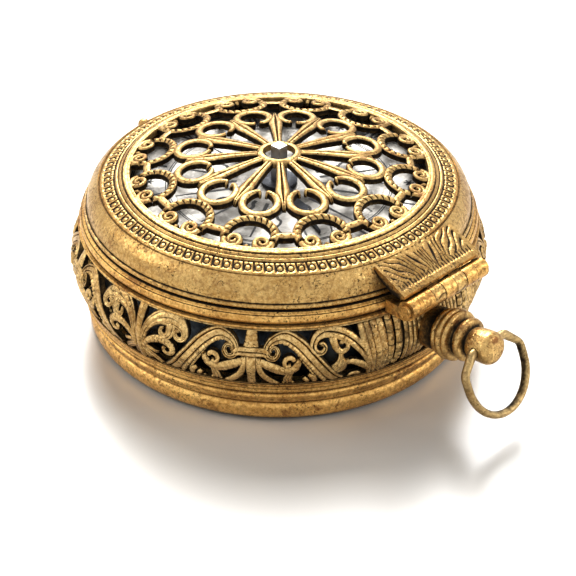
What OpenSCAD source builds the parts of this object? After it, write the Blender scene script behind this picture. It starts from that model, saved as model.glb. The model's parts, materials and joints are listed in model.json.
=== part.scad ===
// Striking watch: a drum-shaped clock-watch with a pierced case, a bell in its back,
// a movement that swings out on the case hinge, and a pierced cover over the dial.
// Millimetres. +Z up, z = 0 at the flat back, +Y towards the pendant (12 o'clock).

/* [Case] */
// Largest radius, at the middle of the pierced band
band_r = 30; // [29:0.25:32]
// Wall of the pierced band
band_wall = 0.9; // [0.7:0.1:1.2]
// How far the band draws in at its top edge
band_top_draw = 1.7; // [1:0.1:2]
// Height of the moulded base
base_h = 7.15; // [6.8:0.05:7.6]
// Thickness of the back plate of the case
back_t = 1.2; // [0.9:0.1:1.4]
// Height of the moulding under the case rim
rim_h = 2.3; // [2:0.1:2.6]

/* [Cover] */
// How far the cover's lip stands inside the widest part of the band
lip_inset = 2.6; // [2.2:0.1:3]
// Rise of the bezel from the lip to the edge of the openwork
bezel_rise = 5.2; // [4.8:0.1:5.8]
// Width of the bezel, from the lip to the round opening that the openwork fills
bezel_w = 6; // [5.6:0.1:6.4]
// Rise of the openwork from its edge to the hub
dome_rise = 2.7; // [2:0.1:3.2]
// Thickness of the openwork
grille_t = 1.1; // [0.8:0.1:1.3]
// Wall of the bezel
bezel_wall = 1; // [0.7:0.1:1.2]
// Radius of the hole in the hub
hub_hole_r = 2.25; // [2:0.05:2.6]
// Turn of the openwork pattern from the hinge line, in degrees
pattern_turn = 3; // [0:1:6]
// Number of petals, one for each hour
hours = 12; // [12:1:12]

/* [Hinge] */
// Distance of the hinge pin outside the cover's lip
hinge_out = 3.6; // [3.4:0.1:4]
// Radius of the hinge barrel
barrel_r = 1.4; // [1.2:0.05:1.5]
// Length of one knuckle
knuckle_l = 2.1; // [1.9:0.05:2.4]
// Radius of the hinge pin
hinge_pin_r = 0.6; // [0.45:0.05:0.7]

/* [Pendant and bow] */
// Height of the pendant's axis where it leaves the band
pendant_z = 11.3; // [11:0.1:11.5]
// Upward tilt of the pendant, in degrees
pendant_tilt = 8; // [0:1:10]
// Length of the pendant from the band to its end
pendant_l = 10.5; // [10.5:0.1:11.5]
// Radius of the pendant's knob
knob_r = 2.3; // [2:0.05:2.4]
// Thickness of the bow's wire
bow_wire = 1.3; // [1:0.1:1.5]
// Width of the bow over its wire
bow_w = 12.7; // [12:0.1:13.4]
// Reach of the bow from the pendant's hole to its far end
bow_l = 10.4; // [9.8:0.1:10.6]
// Angle at which the bow stands out of the vertical, in degrees
bow_lean = 26; // [0:1:40]
// How far the bow has slid through its hole
bow_slid = 0.6; // [0:0.1:0.8]

/* [Bell] */
// Free space round the bell, inside the base moulding
bell_gap = 0.9; // [0.8:0.1:1.6]
// Wall of the bell
bell_wall = 0.8; // [0.5:0.1:1]
// Room between the bell's floor and the balance cock
cock_room = 1.4; // [1:0.1:2.4]
// Height of the bell's rim above its crown
bell_h = 12.6; // [11:0.1:13]

/* [Movement] */
// Thickness of the two movement plates
plate_t = 1.2; // [1:0.1:1.3]
// Radius of the rear plate
rear_plate_r = 21.5; // [21.2:0.1:22]
// Space between the two plates
plate_gap = 8.8; // [8.7:0.1:9.2]
// Height of the dial's face above the case rim
dial_rise = 2.8; // [2.6:0.05:2.9]
// Thickness of the dial plate
dial_t = 0.7; // [0.5:0.1:0.8]
// How far the dial's edge stands inside the cover's lip
dial_inset = 4.8; // [4.6:0.1:5.4]
// Radius of the pivots that turn in the plates
pivot_r = 0.35; // [0.25:0.05:0.4]
// Running clearance of a pivot or a pin in its hole
fit = 0.05; // [0.03:0.01:0.08]
// Width of the square post that carries the hand
post_w = 1.6; // [1.4:0.1:1.8]
// Height of the square post above the hub
post_rise = 0.9; // [0.8:0.1:2]

/* [Wheels] */
// Module of the great wheel and the hour wheel
great_m = 0.34; // [0.32:0.01:0.34]
// Module of the second wheel and the strike great wheel
second_m = 0.22; // [0.2:0.01:0.22]
// Module of the contrate wheel
contrate_m = 0.2; // [0.18:0.01:0.2]
// Module of the strike great wheel
strike_m = 0.26; // [0.24:0.01:0.26]
// Module of the pin wheel and the hoop wheel
pin_m = 0.16; // [0.14:0.01:0.16]
// Face width of the wheels
wheel_t = 0.8; // [0.6:0.1:0.8]
// Radius of the balance
balance_r = 6.5; // [5.5:0.1:6.6]

/* [Hidden] */
$fn = 64;
fine = 128;
eps = 0.01;
gap = 0.06;
through = 100;

// Levels from the back plate up to the case rim
bell_z = back_t + 0.4;
cock_t = 0.8;
balance_drop = 1.7;
cock_drop = 1.5;
case_h = bell_z + bell_wall + cock_room + cock_drop + balance_drop + 2 * plate_t + plate_gap;
lip_r = band_r - lip_inset;
grille_r = lip_r - bezel_w;
hinge_y = lip_r + hinge_out;
dial_r = lip_r - dial_inset;

// Case, worked out from the sizes above
band_foot_z = base_h;
band_top_z = case_h - rim_h;
band_span = band_top_z - band_foot_z;
band_mid_z = band_foot_z + 0.457 * band_span;
band_bulge = band_top_draw / pow(band_top_z - band_mid_z, 2);
function band_radius(z) = band_r - band_bulge * pow(z - band_mid_z, 2);
band_top_r = band_radius(band_top_z);
band_foot_r = band_radius(band_foot_z);
base_in_r = band_foot_r - 2.5;
rim_bead_r = (rim_h - 0.6) / 2;
seat_r = lip_r - 1;
shelf_r = seat_r - 1.4;
shelf_z = case_h - plate_t;
band_rings = 7;
seam_turn = 3.7;

// Cover, worked out from the sizes above
lip_gap = 0.3;
lip_z = case_h + lip_gap;
grille_z = lip_z + bezel_rise;
hub_z = grille_z + dome_rise;
dome_r = (pow(grille_r, 2) + pow(dome_rise, 2)) / (2 * dome_rise);
dome_centre_z = hub_z - dome_r;
hub_r = hub_hole_r + 0.85;
petal_at = 0.575 * grille_r;
petal_r = 0.1379 * grille_r;
petal_hole_r = 0.0981 * grille_r;
loop_at = 0.846 * grille_r;
loop_r = 0.1589 * grille_r;
loop_hole_r = 0.1051 * grille_r;
scroll_at = loop_at + 0.0888 * grille_r;
scroll_x = 0.0935 * grille_r;
scroll_r = 0.049 * grille_r;
loop_bar = loop_at * sin(180 / hours) - loop_r + 0.61;
band_line_r = grille_r + 1.76;
band_edge_r = grille_r + 3.85;

// Hinge, worked out from the sizes above
hinge_z = lip_z - 0.5;
knuckle_pitch = knuckle_l + gap;
leaf_slot = 0.75;

// Pendant and bow, worked out from the sizes above
bow_out = pendant_l - 2;
bow_y = band_r + bow_out * cos(pendant_tilt);
bow_z = pendant_z + bow_out * sin(pendant_tilt);
bow_hole_r = bow_wire / 2 + fit;

// Bell
bell_r = base_in_r - bell_gap;
bell_in_r = bell_r - bell_wall;
bell_round = 4.5;
stud_r = 1.1;
nut_r = 2.1;
nut_t = 1.2;

// Movement levels
front_z = case_h - plate_t;
rear_top_z = front_z - plate_gap;
rear_z = rear_top_z - plate_t;
front_r = seat_r - 0.35;
dial_z = case_h + dial_rise;
dial_foot_z = dial_z - dial_t;
ring_in_r = dial_r - 1.4;
chapter_in_r = 0.66 * dial_r;
chapter_t = 0.25;
hand_z = dial_z + chapter_t + 0.15;
post_top = hub_z + post_rise;
motion_z = case_h + 0.3;
end_shake = 0.05;
arbor_r = 0.55;
arbor_low = rear_top_z + end_shake;
arbor_high = front_z - end_shake;

// Tooth counts of the going train
great_teeth = 54;
second_leaves = 9;
second_teeth = 45;
contrate_leaves = 9;
contrate_teeth = 40;
crown_leaves = 8;
crown_teeth = 15;
hour_teeth = 36;
cannon_leaves = 12;

// Tooth counts of the strike
strike_teeth = 54;
pin_leaves = 9;
pin_teeth = 52;
pins = 13;
pin_circle_r = pin_m * pin_teeth / 2 - 0.45;
pin_r = 0.2;
hoop_leaves = 8;
hoop_teeth = 40;
fly_leaves = 8;

function polar(r, a) = [r * cos(a), r * sin(a)];
function mesh_distance(m, a, b) = m * (a + b) / 2;

// Turn of a pinion whose wheel has a tooth at turn, for leaves that stand between the teeth.
// The heading runs from the wheel to the pinion.
function meshed_turn(heading, teeth, turn, leaves) =
    heading + 180 + 360 / leaves * (0.5 - (turn - heading) * teeth / 360);

// Places of the arbors, seen from the dial
fusee_turn = -28;
fusee_at = polar(mesh_distance(great_m, hour_teeth, cannon_leaves), fusee_turn);
second_turn = -110;
second_at = fusee_at + polar(mesh_distance(great_m, great_teeth, second_leaves), second_turn);
contrate_turn = 160;
contrate_at = second_at + polar(mesh_distance(second_m, second_teeth, contrate_leaves), contrate_turn);
crown_turn = 127;
going_at = [10, 10.5];
strike_at = [-9, 10];
pin_turn = -115;
pin_at = strike_at + polar(mesh_distance(strike_m, strike_teeth, pin_leaves), pin_turn);
hoop_turn = -140;
hoop_at = pin_at + polar(mesh_distance(pin_m, pin_teeth, hoop_leaves), hoop_turn);
fly_turn = -70;
fly_at = hoop_at + polar(mesh_distance(pin_m, hoop_teeth, fly_leaves), fly_turn);
hammer_at = [-17.4, 8.6];
detent_at = [-18.3, 2];
click_at = going_at + [4.6, -0.5];
stud_pin_r = 0.35;
ratchet_teeth = 16;
ratchet_r = 3;
ratchet_root_r = 2.4;
ratchet_turn = 7;
pillar_turns = [20, 97, 232, 322];
pillar_at = 19.6;

// Levels of the wheels
great_z = rear_top_z + 0.25;
second_z = great_z + wheel_t + 0.2;
strike_z = rear_top_z + 0.5;
pin_z = front_z - 2.7;
hoop_z = pin_z - 2;
crown_z = second_z + wheel_t + 2.35;
contrate_r = contrate_m * contrate_teeth / 2;
crown_pinion_r = contrate_m * crown_leaves / 2;
contrate_pitch_z = crown_z - crown_pinion_r;
crown_out = 6.3;
crown_r = 3.4;
crown_tip = 8.25;
verge_out = 9.2;
verge_at = contrate_at + polar(verge_out, crown_turn);
balance_z = rear_z - balance_drop;
cock_z = balance_z - cock_drop;
cock_w = 3.2;
cock_foot_w = 5;
cock_edge_r = bell_in_r - 3.7;
drum_r = 6;
drum_arbor_r = 0.8;
going_drum_z = great_z + wheel_t + 0.6;
going_drum_h = front_z - 0.6 - going_drum_z;
strike_drum_z = strike_z + wheel_t;
strike_drum_h = pin_z - 0.4 - strike_drum_z;
fusee_z = great_z + wheel_t;
fusee_h = plate_gap - 2.4;
fusee_foot_r = 5;
fusee_top_r = 3.2;
fusee_grooves = 7;
line_r = 0.22;
line_z = fusee_z + fusee_h / 2 + 0.2;

// One wheel or pinion outline: root, pitch and tip points of each tooth
module gear_outline(teeth, m, share = 0.42, tip_share = 0.15, add = 0.9, ded = 1.2, turn = 0) {
    rp = m * teeth / 2;
    pitch = 360 / teeth;
    rows = [[rp - ded * m, -share], [rp, -share], [rp + add * m, -tip_share],
            [rp + add * m, tip_share], [rp, share], [rp - ded * m, share]];
    polygon([
        for (i = [0 : teeth - 1])
            for (row = rows)
                polar(row[0], turn + i * pitch + row[1] * pitch / 2)
    ]);
}

module wheel(teeth, m, t, turn = 0, spokes = 4, hole = 0) {
    rim = m * teeth / 2 - 1.2 * m - 0.5;
    linear_extrude(t) difference() {
        gear_outline(teeth, m, turn = turn);
        if (spokes > 0) difference() {
            circle(rim);
            circle(1.4);
            for (i = [0 : spokes - 1])
                rotate(i * 360 / spokes) translate([0, -0.4]) square([rim + 1, 0.8]);
        }
        if (hole > 0) circle(hole);
    }
}

module pinion(leaves, m, t, turn = 0) {
    linear_extrude(t)
        gear_outline(leaves, m, share = 0.34, tip_share = 0.16, add = 0.55, ded = 1.2, turn = turn);
}

// Arbor between the plates with a pivot in each
module arbor(low = arbor_low, high = arbor_high, r = arbor_r) {
    translate([0, 0, low]) cylinder(r = r, h = high - low);
    translate([0, 0, low - plate_t + 0.3]) cylinder(r = pivot_r, h = high - low + 2 * plate_t - 0.6);
}

module ring_profile(points) {
    rotate_extrude($fn = fine) polygon(points);
}

function arc_points(cx, cz, r, from, to, steps) = [
    for (i = [0 : steps]) [cx + r * cos(from + (to - from) * i / steps),
                           cz + r * sin(from + (to - from) * i / steps)]
];

// Openings of one bay of the band: degrees from the clasp, and percent of the band's height.
// The bay runs from the clasp at 0 to the palmette stem at 32 degrees.
over_crest = [[6.5, 98], [1.9, 98], [1.3, 89], [1.6, 75], [2.6, 75], [3.4, 82], [5, 91]];
over_strap = [[10, 98], [17, 98], [17.7, 89], [17.4, 76], [16.6, 73], [14.5, 83], [12, 93]];
under_volute = [[21.6, 80], [21.9, 63], [21.2, 50], [21.5, 36], [20.3, 41], [19, 51],
                [18.2, 60], [19.4, 62], [20.6, 69], [21, 77]];
in_arch = [[29.9, 47], [30.2, 61], [29.3, 74], [27.5, 83], [26, 84], [25.7, 76], [25.6, 66],
           [26.2, 58], [27.5, 53], [29, 45]];
under_leaf = [[29.3, 29], [27.5, 43], [25.5, 47], [24.8, 39], [23.8, 31], [22.9, 29],
              [22.9, 20], [24.3, 14], [26, 19], [27, 27], [28.3, 23]];
in_crest = [[11.2, 62], [9.5, 75], [7.9, 82], [6.7, 79], [6.9, 68], [5.8, 57], [4.3, 54],
            [4.5, 50], [6.5, 47], [8, 46], [8.3, 55], [9.3, 59], [10.4, 58]];
beside_bundle = [[8.2, 28], [6, 33], [3.5, 41], [2.3, 38], [1.8, 27], [2.3, 15], [4, 9],
                 [6.3, 1], [7.7, 2], [7.9, 13]];
beside_drop = [[14, 45], [12.8, 50], [12.4, 36], [11, 27], [10.4, 22], [11, 11], [11.6, 4],
               [12.6, 12], [13.8, 20], [15.3, 22], [15, 33]];
strap_foot = [[16.7, 14], [18.5, 6], [20.4, 1], [16.4, 1]];
stem_corner = [[30.4, 98], [25.5, 98], [26.5, 94], [28.8, 85], [30.2, 73], [30.7, 84]];
bay_openings = [over_crest, over_strap, under_volute, in_arch, under_leaf, in_crest,
                beside_bundle, beside_drop, strap_foot, stem_corner];
pendant_opening = [[-2, 33], [0, 10], [1.6, 1], [-2.2, 1]];

// A cutter through the band, pointing outwards from the middle
module band_cutter(points, side) {
    mid = (max([for (p = points) p[0]]) + min([for (p = points) p[0]])) / 2;
    rotate([0, 0, side * mid]) translate([band_r - 6, 0, band_foot_z])
        rotate([90, 0, 90]) linear_extrude(8)
            polygon([for (p = points)
                [side * band_r * sin(p[0] - mid), p[1] / 100 * band_span]]);
}

module band_shell() {
    outside = [for (i = [0 : band_rings]) let (z = band_foot_z + i * band_span / band_rings)
        [band_radius(z), z]];
    inside = [for (i = [band_rings : -1 : 0]) let (z = band_foot_z + i * band_span / band_rings)
        [band_radius(z) - band_wall, z]];
    ring_profile(concat(outside, inside));
}

module case_band() {
    color("#c9a24f") difference() {
        rotate(seam_turn) band_shell();
        for (clasp = [-90, -26, 38, 142, 206])
            for (side = [-1, 1])
                for (opening = bay_openings)
                    rotate([0, 0, clasp]) band_cutter(opening, side);
        for (side = [-1, 1])
            rotate([0, 0, 90 + side * 11]) band_cutter(pendant_opening, -side);
        translate([0, band_r, pendant_z]) rotate([90 + pendant_tilt, 0, 0]) cylinder(r = 3, h = 8, center = true);
    }
}

module rim_moulding() {
    bulge = lip_r + 0.95;
    color("#b98f45") difference() {
        ring_profile(concat(
            [[shelf_r, band_top_z], [band_top_r + 0.05, band_top_z], [band_top_r + 0.35, band_top_z + 0.2],
             [band_top_r + 0.2, band_top_z + 0.45]],
            arc_points(bulge - rim_bead_r, band_top_z + 0.4 + rim_bead_r, rim_bead_r, -60, 75, 8),
            [[lip_r + 0.15, case_h - 0.1], [lip_r, case_h], [seat_r, case_h], [seat_r, shelf_z],
             [shelf_r, shelf_z]]));
        // Slots for the movement's hinge arms
        for (side = [-1, 1])
            translate([side * 2 * knuckle_pitch - knuckle_l / 2 - 0.15, seat_r - 1, case_h - leaf_slot - 0.3])
                cube([knuckle_l + 0.3, 8, 2]);
        // Room for the moving knuckles of the barrel
        translate([-2.5 * knuckle_pitch, hinge_y, hinge_z]) rotate([0, 90, 0])
            cylinder(r = barrel_r + 0.3, h = 5 * knuckle_pitch);
        // Notch that the movement's bolt shoots into
        translate([-1.3, -seat_r - 1.1, shelf_z + 0.1]) cube([2.6, 1.4, plate_t]);
    }
}

module base_moulding() {
    foot_r = band_foot_r;
    rim_r = foot_r - 0.95;
    round = 1.8;
    color("#c29a4c") ring_profile(concat(
        [[base_in_r, 0], [rim_r - round + 0.5, 0]],
        arc_points(rim_r - round, round, round, -75, 0, 8),
        arc_points(rim_r - 1, base_h - 4.85, 1, 10, 55, 4),
        [[rim_r - 0.25, base_h - 3.8], [rim_r - 0.05, base_h - 3.65], [rim_r - 0.05, base_h - 2.85]],
        arc_points(foot_r - 0.95, base_h - 2.43, 0.4, -70, 80, 6),
        [[foot_r - 0.85, base_h - 1.95], [foot_r - 0.5, base_h - 1.7], [foot_r - 0.3, base_h - 0.55],
         [foot_r, base_h - 0.2], [foot_r, base_h], [foot_r - band_wall - 1.1, base_h],
         [foot_r - band_wall - 1.1, base_h - 3.15], [base_in_r, base_h - 4.15]]));
}

module case_back() {
    color("#c9a24f") difference() {
        cylinder(r = base_in_r, h = back_t, $fn = fine);
        cylinder(r = stud_r + fit, h = 10, center = true);
        translate([0, 0, -eps]) cylinder(r = 2.4, h = 0.5 + eps);
        // Ring of sound holes round the stud
        for (i = [0 : 11])
            rotate(i * 30) translate([8, 0, -1]) cylinder(r = 0.9, h = back_t + 2);
    }
}

// Knuckle number 0 to 6, counted along X
module knuckle(number) {
    x = (number - 3) * knuckle_pitch;
    translate([x - knuckle_l / 2, hinge_y, hinge_z]) rotate([0, 90, 0])
        cylinder(r = barrel_r, h = knuckle_l);
}

module knuckle_bore() {
    translate([-15, hinge_y, hinge_z]) rotate([0, 90, 0]) cylinder(r = hinge_pin_r + fit, h = 30);
}

module case_solid() {
    ring_profile([[shelf_r - 3, band_top_z], [band_top_r + 0.35, band_top_z],
                  [lip_r + 0.95, band_top_z + 0.6], [lip_r + 0.95, case_h - 0.4],
                  [lip_r + 0.4, case_h + 0.2], [shelf_r - 3, case_h + 0.2]]);
}

module case_knuckles() {
    color("#b98f45") difference() {
        for (number = [0, 3, 6]) {
            knuckle(number);
            // Bracket under the knuckle, soldered to the rim moulding
            translate([(number - 3) * knuckle_pitch - knuckle_l / 2, 0, 0]) rotate([90, 0, 90])
                linear_extrude(knuckle_l) polygon([[lip_r - 2, band_top_z + 0.4], [hinge_y - 0.3, band_top_z + 0.4],
                    [hinge_y + barrel_r * 0.86, hinge_z - barrel_r * 0.5], [hinge_y, hinge_z],
                    [hinge_y - 0.9, hinge_z + 0.1], [lip_r - 2, hinge_z + 0.1]]);
        }
        case_solid();
        cylinder(r = lip_r + 0.96, h = 40, $fn = fine);
        knuckle_bore();
    }
}

module hinge_pin() {
    half = 3.5 * knuckle_pitch;
    color("#8e6f3a") {
        translate([-half, hinge_y, hinge_z]) rotate([0, 90, 0]) cylinder(r = hinge_pin_r, h = 2 * half);
        for (side = [-1, 1])
            translate([side * (half + 0.25), hinge_y, hinge_z]) rotate([0, 90, 0])
                cylinder(r = 0.95, h = 0.5, center = true);
    }
}

// Two ridged collars and a drilled knob, turned on an axis that rises from the band
module pendant() {
    points = concat(
        [[0, -2.2], [3, -2.2], [3, 1.6], [3.3, 1.9], [3.3, 2.3], [2.9, 2.5]],
        arc_points(3.1, 3, 0.55, -75, 60, 5),
        arc_points(3.1, 3.95, 0.45, -50, 80, 5),
        [[2.6, 4.6], [2.5, 4.8], [2.55, 5.1]],
        arc_points(2.5, 5.7, 0.55, -75, 75, 6),
        [[2, 6.4], [1.95, 6.6], [knob_r - 0.15, 7], [knob_r - 0.05, 7.6], [knob_r, 8.4]],
        arc_points(knob_r - 1.3, pendant_l - 1.3, 1.3, 0, 80, 5),
        [[0, pendant_l]]);
    color("#a98544") difference() {
        translate([0, band_r, pendant_z]) rotate([pendant_tilt - 90, 0, 0]) rotate_extrude() polygon(points);
        translate([0, bow_y, bow_z]) rotate([0, 90, 0]) cylinder(r = bow_hole_r, h = 10, center = true);
        // Root trimmed to the inside of the band
        cylinder(r = band_r - band_wall - 0.4, h = 40, $fn = fine);
    }
}

// Wire loop: a bar through the pendant, sloping shoulders and a round foot
module bow() {
    r = bow_wire / 2;
    thin = r - 0.02;
    half = bow_w / 2 - r;
    bar = knob_r + bow_slid;
    slope = 42;
    turn_r = 1;
    corner_r = 1.6;
    turn_end = [bar + turn_r * sin(slope), -turn_r * (1 - cos(slope))];
    corner_x = half - corner_r * (1 - sin(slope));
    corner_start = [corner_x, turn_end[1] - (corner_x - turn_end[0]) * tan(slope)];
    side_z = corner_start[1] - corner_r * cos(slope);
    foot_z = half + r - bow_l;
    color("#8a6b3c") translate([-bow_slid, bow_y, bow_z]) rotate([bow_lean, 0, 0]) {
        // The straight pieces are a hair thinner and let in at their ends, so that all is one solid
        rotate([0, 90, 0]) cylinder(r = thin, h = 2 * bar + 0.2, center = true, $fn = 24);
        for (side = [-1, 1]) mirror([side < 0 ? 1 : 0, 0, 0]) {
            translate([bar, 0, -turn_r]) rotate([90, 0, 0]) rotate([0, 0, 90 - slope])
                rotate_extrude(angle = slope) translate([turn_r, 0]) circle(r, $fn = 24);
            translate([turn_end[0], 0, turn_end[1]]) rotate([0, 90 + slope, 0]) translate([0, 0, -0.1])
                cylinder(r = thin, h = norm(corner_start - turn_end) + 0.2, $fn = 24);
            translate([half - corner_r, 0, side_z]) rotate([90, 0, 0])
                rotate_extrude(angle = 90 - slope) translate([corner_r, 0]) circle(r, $fn = 24);
            translate([half, 0, foot_z]) cylinder(r = r, h = side_z - foot_z, $fn = 24);
        }
        translate([0, 0, foot_z]) rotate([90, 0, 0]) rotate([0, 0, 180])
            rotate_extrude(angle = 180) translate([half, 0]) circle(r, $fn = 24);
    }
}

// Lug on the case under the cover's lug
module catch_keeper() {
    color("#b98f45") difference() {
        translate([-2, -lip_r - 2, case_h - 1.5]) cube([4, 3, 1.4]);
        cylinder(r = lip_r + 0.96, h = 40, $fn = fine);
    }
}

module bell() {
    outer = concat([[0, bell_z]], arc_points(bell_r - bell_round, bell_z + bell_round, bell_round, -90, 0, 8),
        [[bell_r, bell_z + bell_h]]);
    inner = concat([[bell_in_r, bell_z + bell_h]],
        arc_points(bell_r - bell_round, bell_z + bell_round, bell_round - bell_wall, 0, -90, 8),
        [[0, bell_z + bell_wall]]);
    color("#5a5f55") difference() {
        ring_profile(concat(outer, inner));
        translate([0, 0, bell_z - 1]) cylinder(r = stud_r + fit, h = 4);
    }
}

module bell_stud() {
    color("#8d8f92") {
        cylinder(r = 2.3, h = 0.45);
        cylinder(r = stud_r, h = bell_z + bell_wall + nut_t);
        difference() {
            translate([0, 0, back_t]) cylinder(r = 2, h = bell_z - back_t);
            cylinder(r = stud_r - eps, h = 10);
        }
    }
}

module bell_nut() {
    color("#6d6f73") translate([0, 0, bell_z + bell_wall]) difference() {
        cylinder(r = nut_r, h = nut_t, $fn = 4);
        translate([0, 0, -1]) cylinder(r = stud_r, h = nut_t + 2);
    }
}

// Points from a to b on a curve that bows out to the right of that way
function bowed(a, b, rise, steps) = [
    for (i = [0 : steps]) let (t = i / steps, way = (b - a) / norm(b - a))
        a + t * (b - a) + 4 * rise * t * (1 - t) * [way[1], -way[0]]
];

// Outline of the bezel from its lip up to the edge of the openwork
bezel_outside = concat(
    [[lip_r - 0.1, lip_z], [lip_r + 0.25, lip_z + 0.1], [lip_r + 0.25, lip_z + 0.45], [lip_r - 0.1, lip_z + 0.6]],
    bowed([lip_r - 0.15, lip_z + 0.65], [band_edge_r + 0.29, grille_z - 1.48], 0.43, 7),
    [[band_edge_r + 0.12, grille_z - 1.72], [band_edge_r, grille_z - 1.62],
     [band_line_r + 0.1, grille_z - 0.78], [band_line_r, grille_z - 0.86],
     [band_line_r - 0.25, grille_z - 0.45], [band_line_r - 0.55, grille_z - 0.5],
     [grille_r + 0.9, grille_z - 0.25], [grille_r, grille_z]]);

module bezel_solid() {
    ring_profile(concat(bezel_outside, [[0, grille_z], [0, lip_z]]));
}

module cover_bezel() {
    color("#d0ab58") ring_profile(concat(bezel_outside, [
        [grille_r, grille_z - grille_t], [band_line_r, grille_z - 1.3 - bezel_wall / 2],
        [band_edge_r - 0.4, grille_z - 1.95 - bezel_wall / 2], [lip_r - 1.7, lip_z + 1.4], [lip_r - bezel_wall, lip_z + 0.4],
        [lip_r - bezel_wall, lip_z]]));
}

// Flat pattern of the openwork, one petal and one loop for each hour
module grille_pattern() {
    difference() {
        circle(hub_r, $fn = 48);
        circle(hub_hole_r, $fn = 48);
    }
    difference() {
        circle(grille_r - 0.02, $fn = fine);
        circle(grille_r - 0.6, $fn = fine);
    }
    for (i = [0 : hours - 1]) rotate(pattern_turn + i * 360 / hours) {
        // Petal, open towards the hub
        difference() {
            translate([petal_at, 0]) circle(petal_r, $fn = 32);
            translate([petal_at, 0]) circle(petal_hole_r, $fn = 32);
            translate([petal_at - 4, -0.6]) square([3, 1.2]);
        }
        // Loop, open towards the rim, its ends rolled into scrolls
        difference() {
            translate([loop_at, 0]) circle(loop_r, $fn = 32);
            translate([loop_at, 0]) circle(loop_hole_r, $fn = 32);
            translate([loop_at + 1, -1]) square([4, 2]);
        }
        for (side = [-1, 1]) translate([scroll_at, side * scroll_x]) circle(scroll_r, $fn = 20);
        // Spoke between two petals
        rotate(180 / hours) polygon([[hub_r - 0.4, -0.5], [petal_at - 3, -0.8], [petal_at + 0.5, -0.7],
            [petal_at + 0.5, 0.7], [petal_at - 3, 0.8], [hub_r - 0.4, 0.5]]);
        // Bar between two loops
        rotate(180 / hours) translate([loop_at - 0.3, -loop_bar]) square([1.2, 2 * loop_bar]);
    }
}

module cover_grille() {
    color("#d7b35f") intersection() {
        translate([0, 0, lip_z]) linear_extrude(20) intersection() {
            grille_pattern();
            circle(grille_r - 0.02, $fn = fine);
        }
        difference() {
            translate([0, 0, dome_centre_z]) sphere(dome_r, $fn = 256);
            translate([0, 0, dome_centre_z]) sphere(dome_r - grille_t, $fn = 256);
        }
    }
}

module cover_leaf() {
    half = 3.5 * knuckle_pitch;
    foot_y = band_edge_r - 0.4;
    color("#caa351") difference() {
        union() {
            translate([-half, 0, 0]) rotate([90, 0, 90]) linear_extrude(2 * half)
                polygon([[foot_y - 1, lip_z + 2], [foot_y + 0.5, grille_z - 1.45], [foot_y + 1.4, grille_z - 1.75],
                    [hinge_y - 0.4, hinge_z + barrel_r + 0.75], [hinge_y - 0.4, hinge_z + barrel_r - 0.05],
                    [lip_r - 0.4, hinge_z + barrel_r - 0.05], [lip_r - 3, lip_z + 1.5]]);
            for (number = [2, 4]) {
                knuckle(number);
                translate([(number - 3) * knuckle_pitch - knuckle_l / 2, hinge_y - barrel_r, hinge_z])
                    cube([knuckle_l, barrel_r, barrel_r + 0.1]);
            }
        }
        bezel_solid();
        // The leaf stops above the fixed knuckles and the movement's knuckles
        for (number = [0, 1, 3, 5, 6])
            translate([(number - 3) * knuckle_pitch, hinge_y, hinge_z]) rotate([0, 90, 0])
                cylinder(r = barrel_r + 0.3, h = knuckle_pitch + gap, center = true);
        cylinder(r = lip_r - 3, h = 60);
        knuckle_bore();
    }
}

// Lug by which the cover is opened, opposite the hinge
module cover_lug() {
    color("#caa351") difference() {
        union() {
            translate([0, -lip_r - 0.7, lip_z + 0.75]) rotate([90, 0, 0]) cylinder(r = 0.7, h = 2, center = true);
            translate([0, -lip_r - 1.7, lip_z + 0.75]) sphere(0.9);
        }
        bezel_solid();
    }
}

module arbor_holes(r_extra = fit) {
    for (at = [second_at, contrate_at, pin_at, hoop_at, fly_at, hammer_at])
        translate(at) cylinder(r = pivot_r + r_extra, h = through, center = true);
}

module front_plate() {
    color("#c7a04d") difference() {
        translate([0, 0, front_z]) cylinder(r = front_r, h = plate_t, $fn = fine);
        arbor_holes();
        for (at = [strike_at, going_at]) translate(at) cylinder(r = drum_arbor_r + fit, h = through, center = true);
        translate(fusee_at) cylinder(r = drum_arbor_r + fit, h = through, center = true);
        translate(verge_at) cylinder(r = pivot_r + fit, h = through, center = true);
        for (a = pillar_turns) rotate(a) translate([pillar_at, 0, 0]) cylinder(r = 0.7, h = through);
        cylinder(r = 1.2, h = through);
        // Way of the bolt under the dial
        translate([-1.05, -front_r - 1, front_z + 0.2]) cube([2.1, 5.2, plate_t]);
        // Clear of the hinge barrel
        translate([-12, hinge_y, hinge_z]) rotate([0, 90, 0]) cylinder(r = barrel_r + 0.4, h = 24);
    }
}

module rear_plate() {
    color("#c7a04d") for (at = [detent_at, click_at])
        translate([at[0], at[1], rear_z - 1.3]) cylinder(r = stud_pin_r, h = 1.3 + eps, $fn = 32);
    color("#c7a04d") difference() {
        translate([0, 0, rear_z]) cylinder(r = rear_plate_r, h = plate_t, $fn = fine);
        arbor_holes();
        for (at = [strike_at, going_at, fusee_at]) translate(at) cylinder(r = drum_arbor_r + fit, h = through, center = true);
        translate(verge_at) cylinder(r = 0.6, h = through, center = true);
        for (a = pillar_turns) rotate(a) translate([pillar_at, 0, 0]) cylinder(r = 0.7, h = through, center = true);
    }
}

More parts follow.
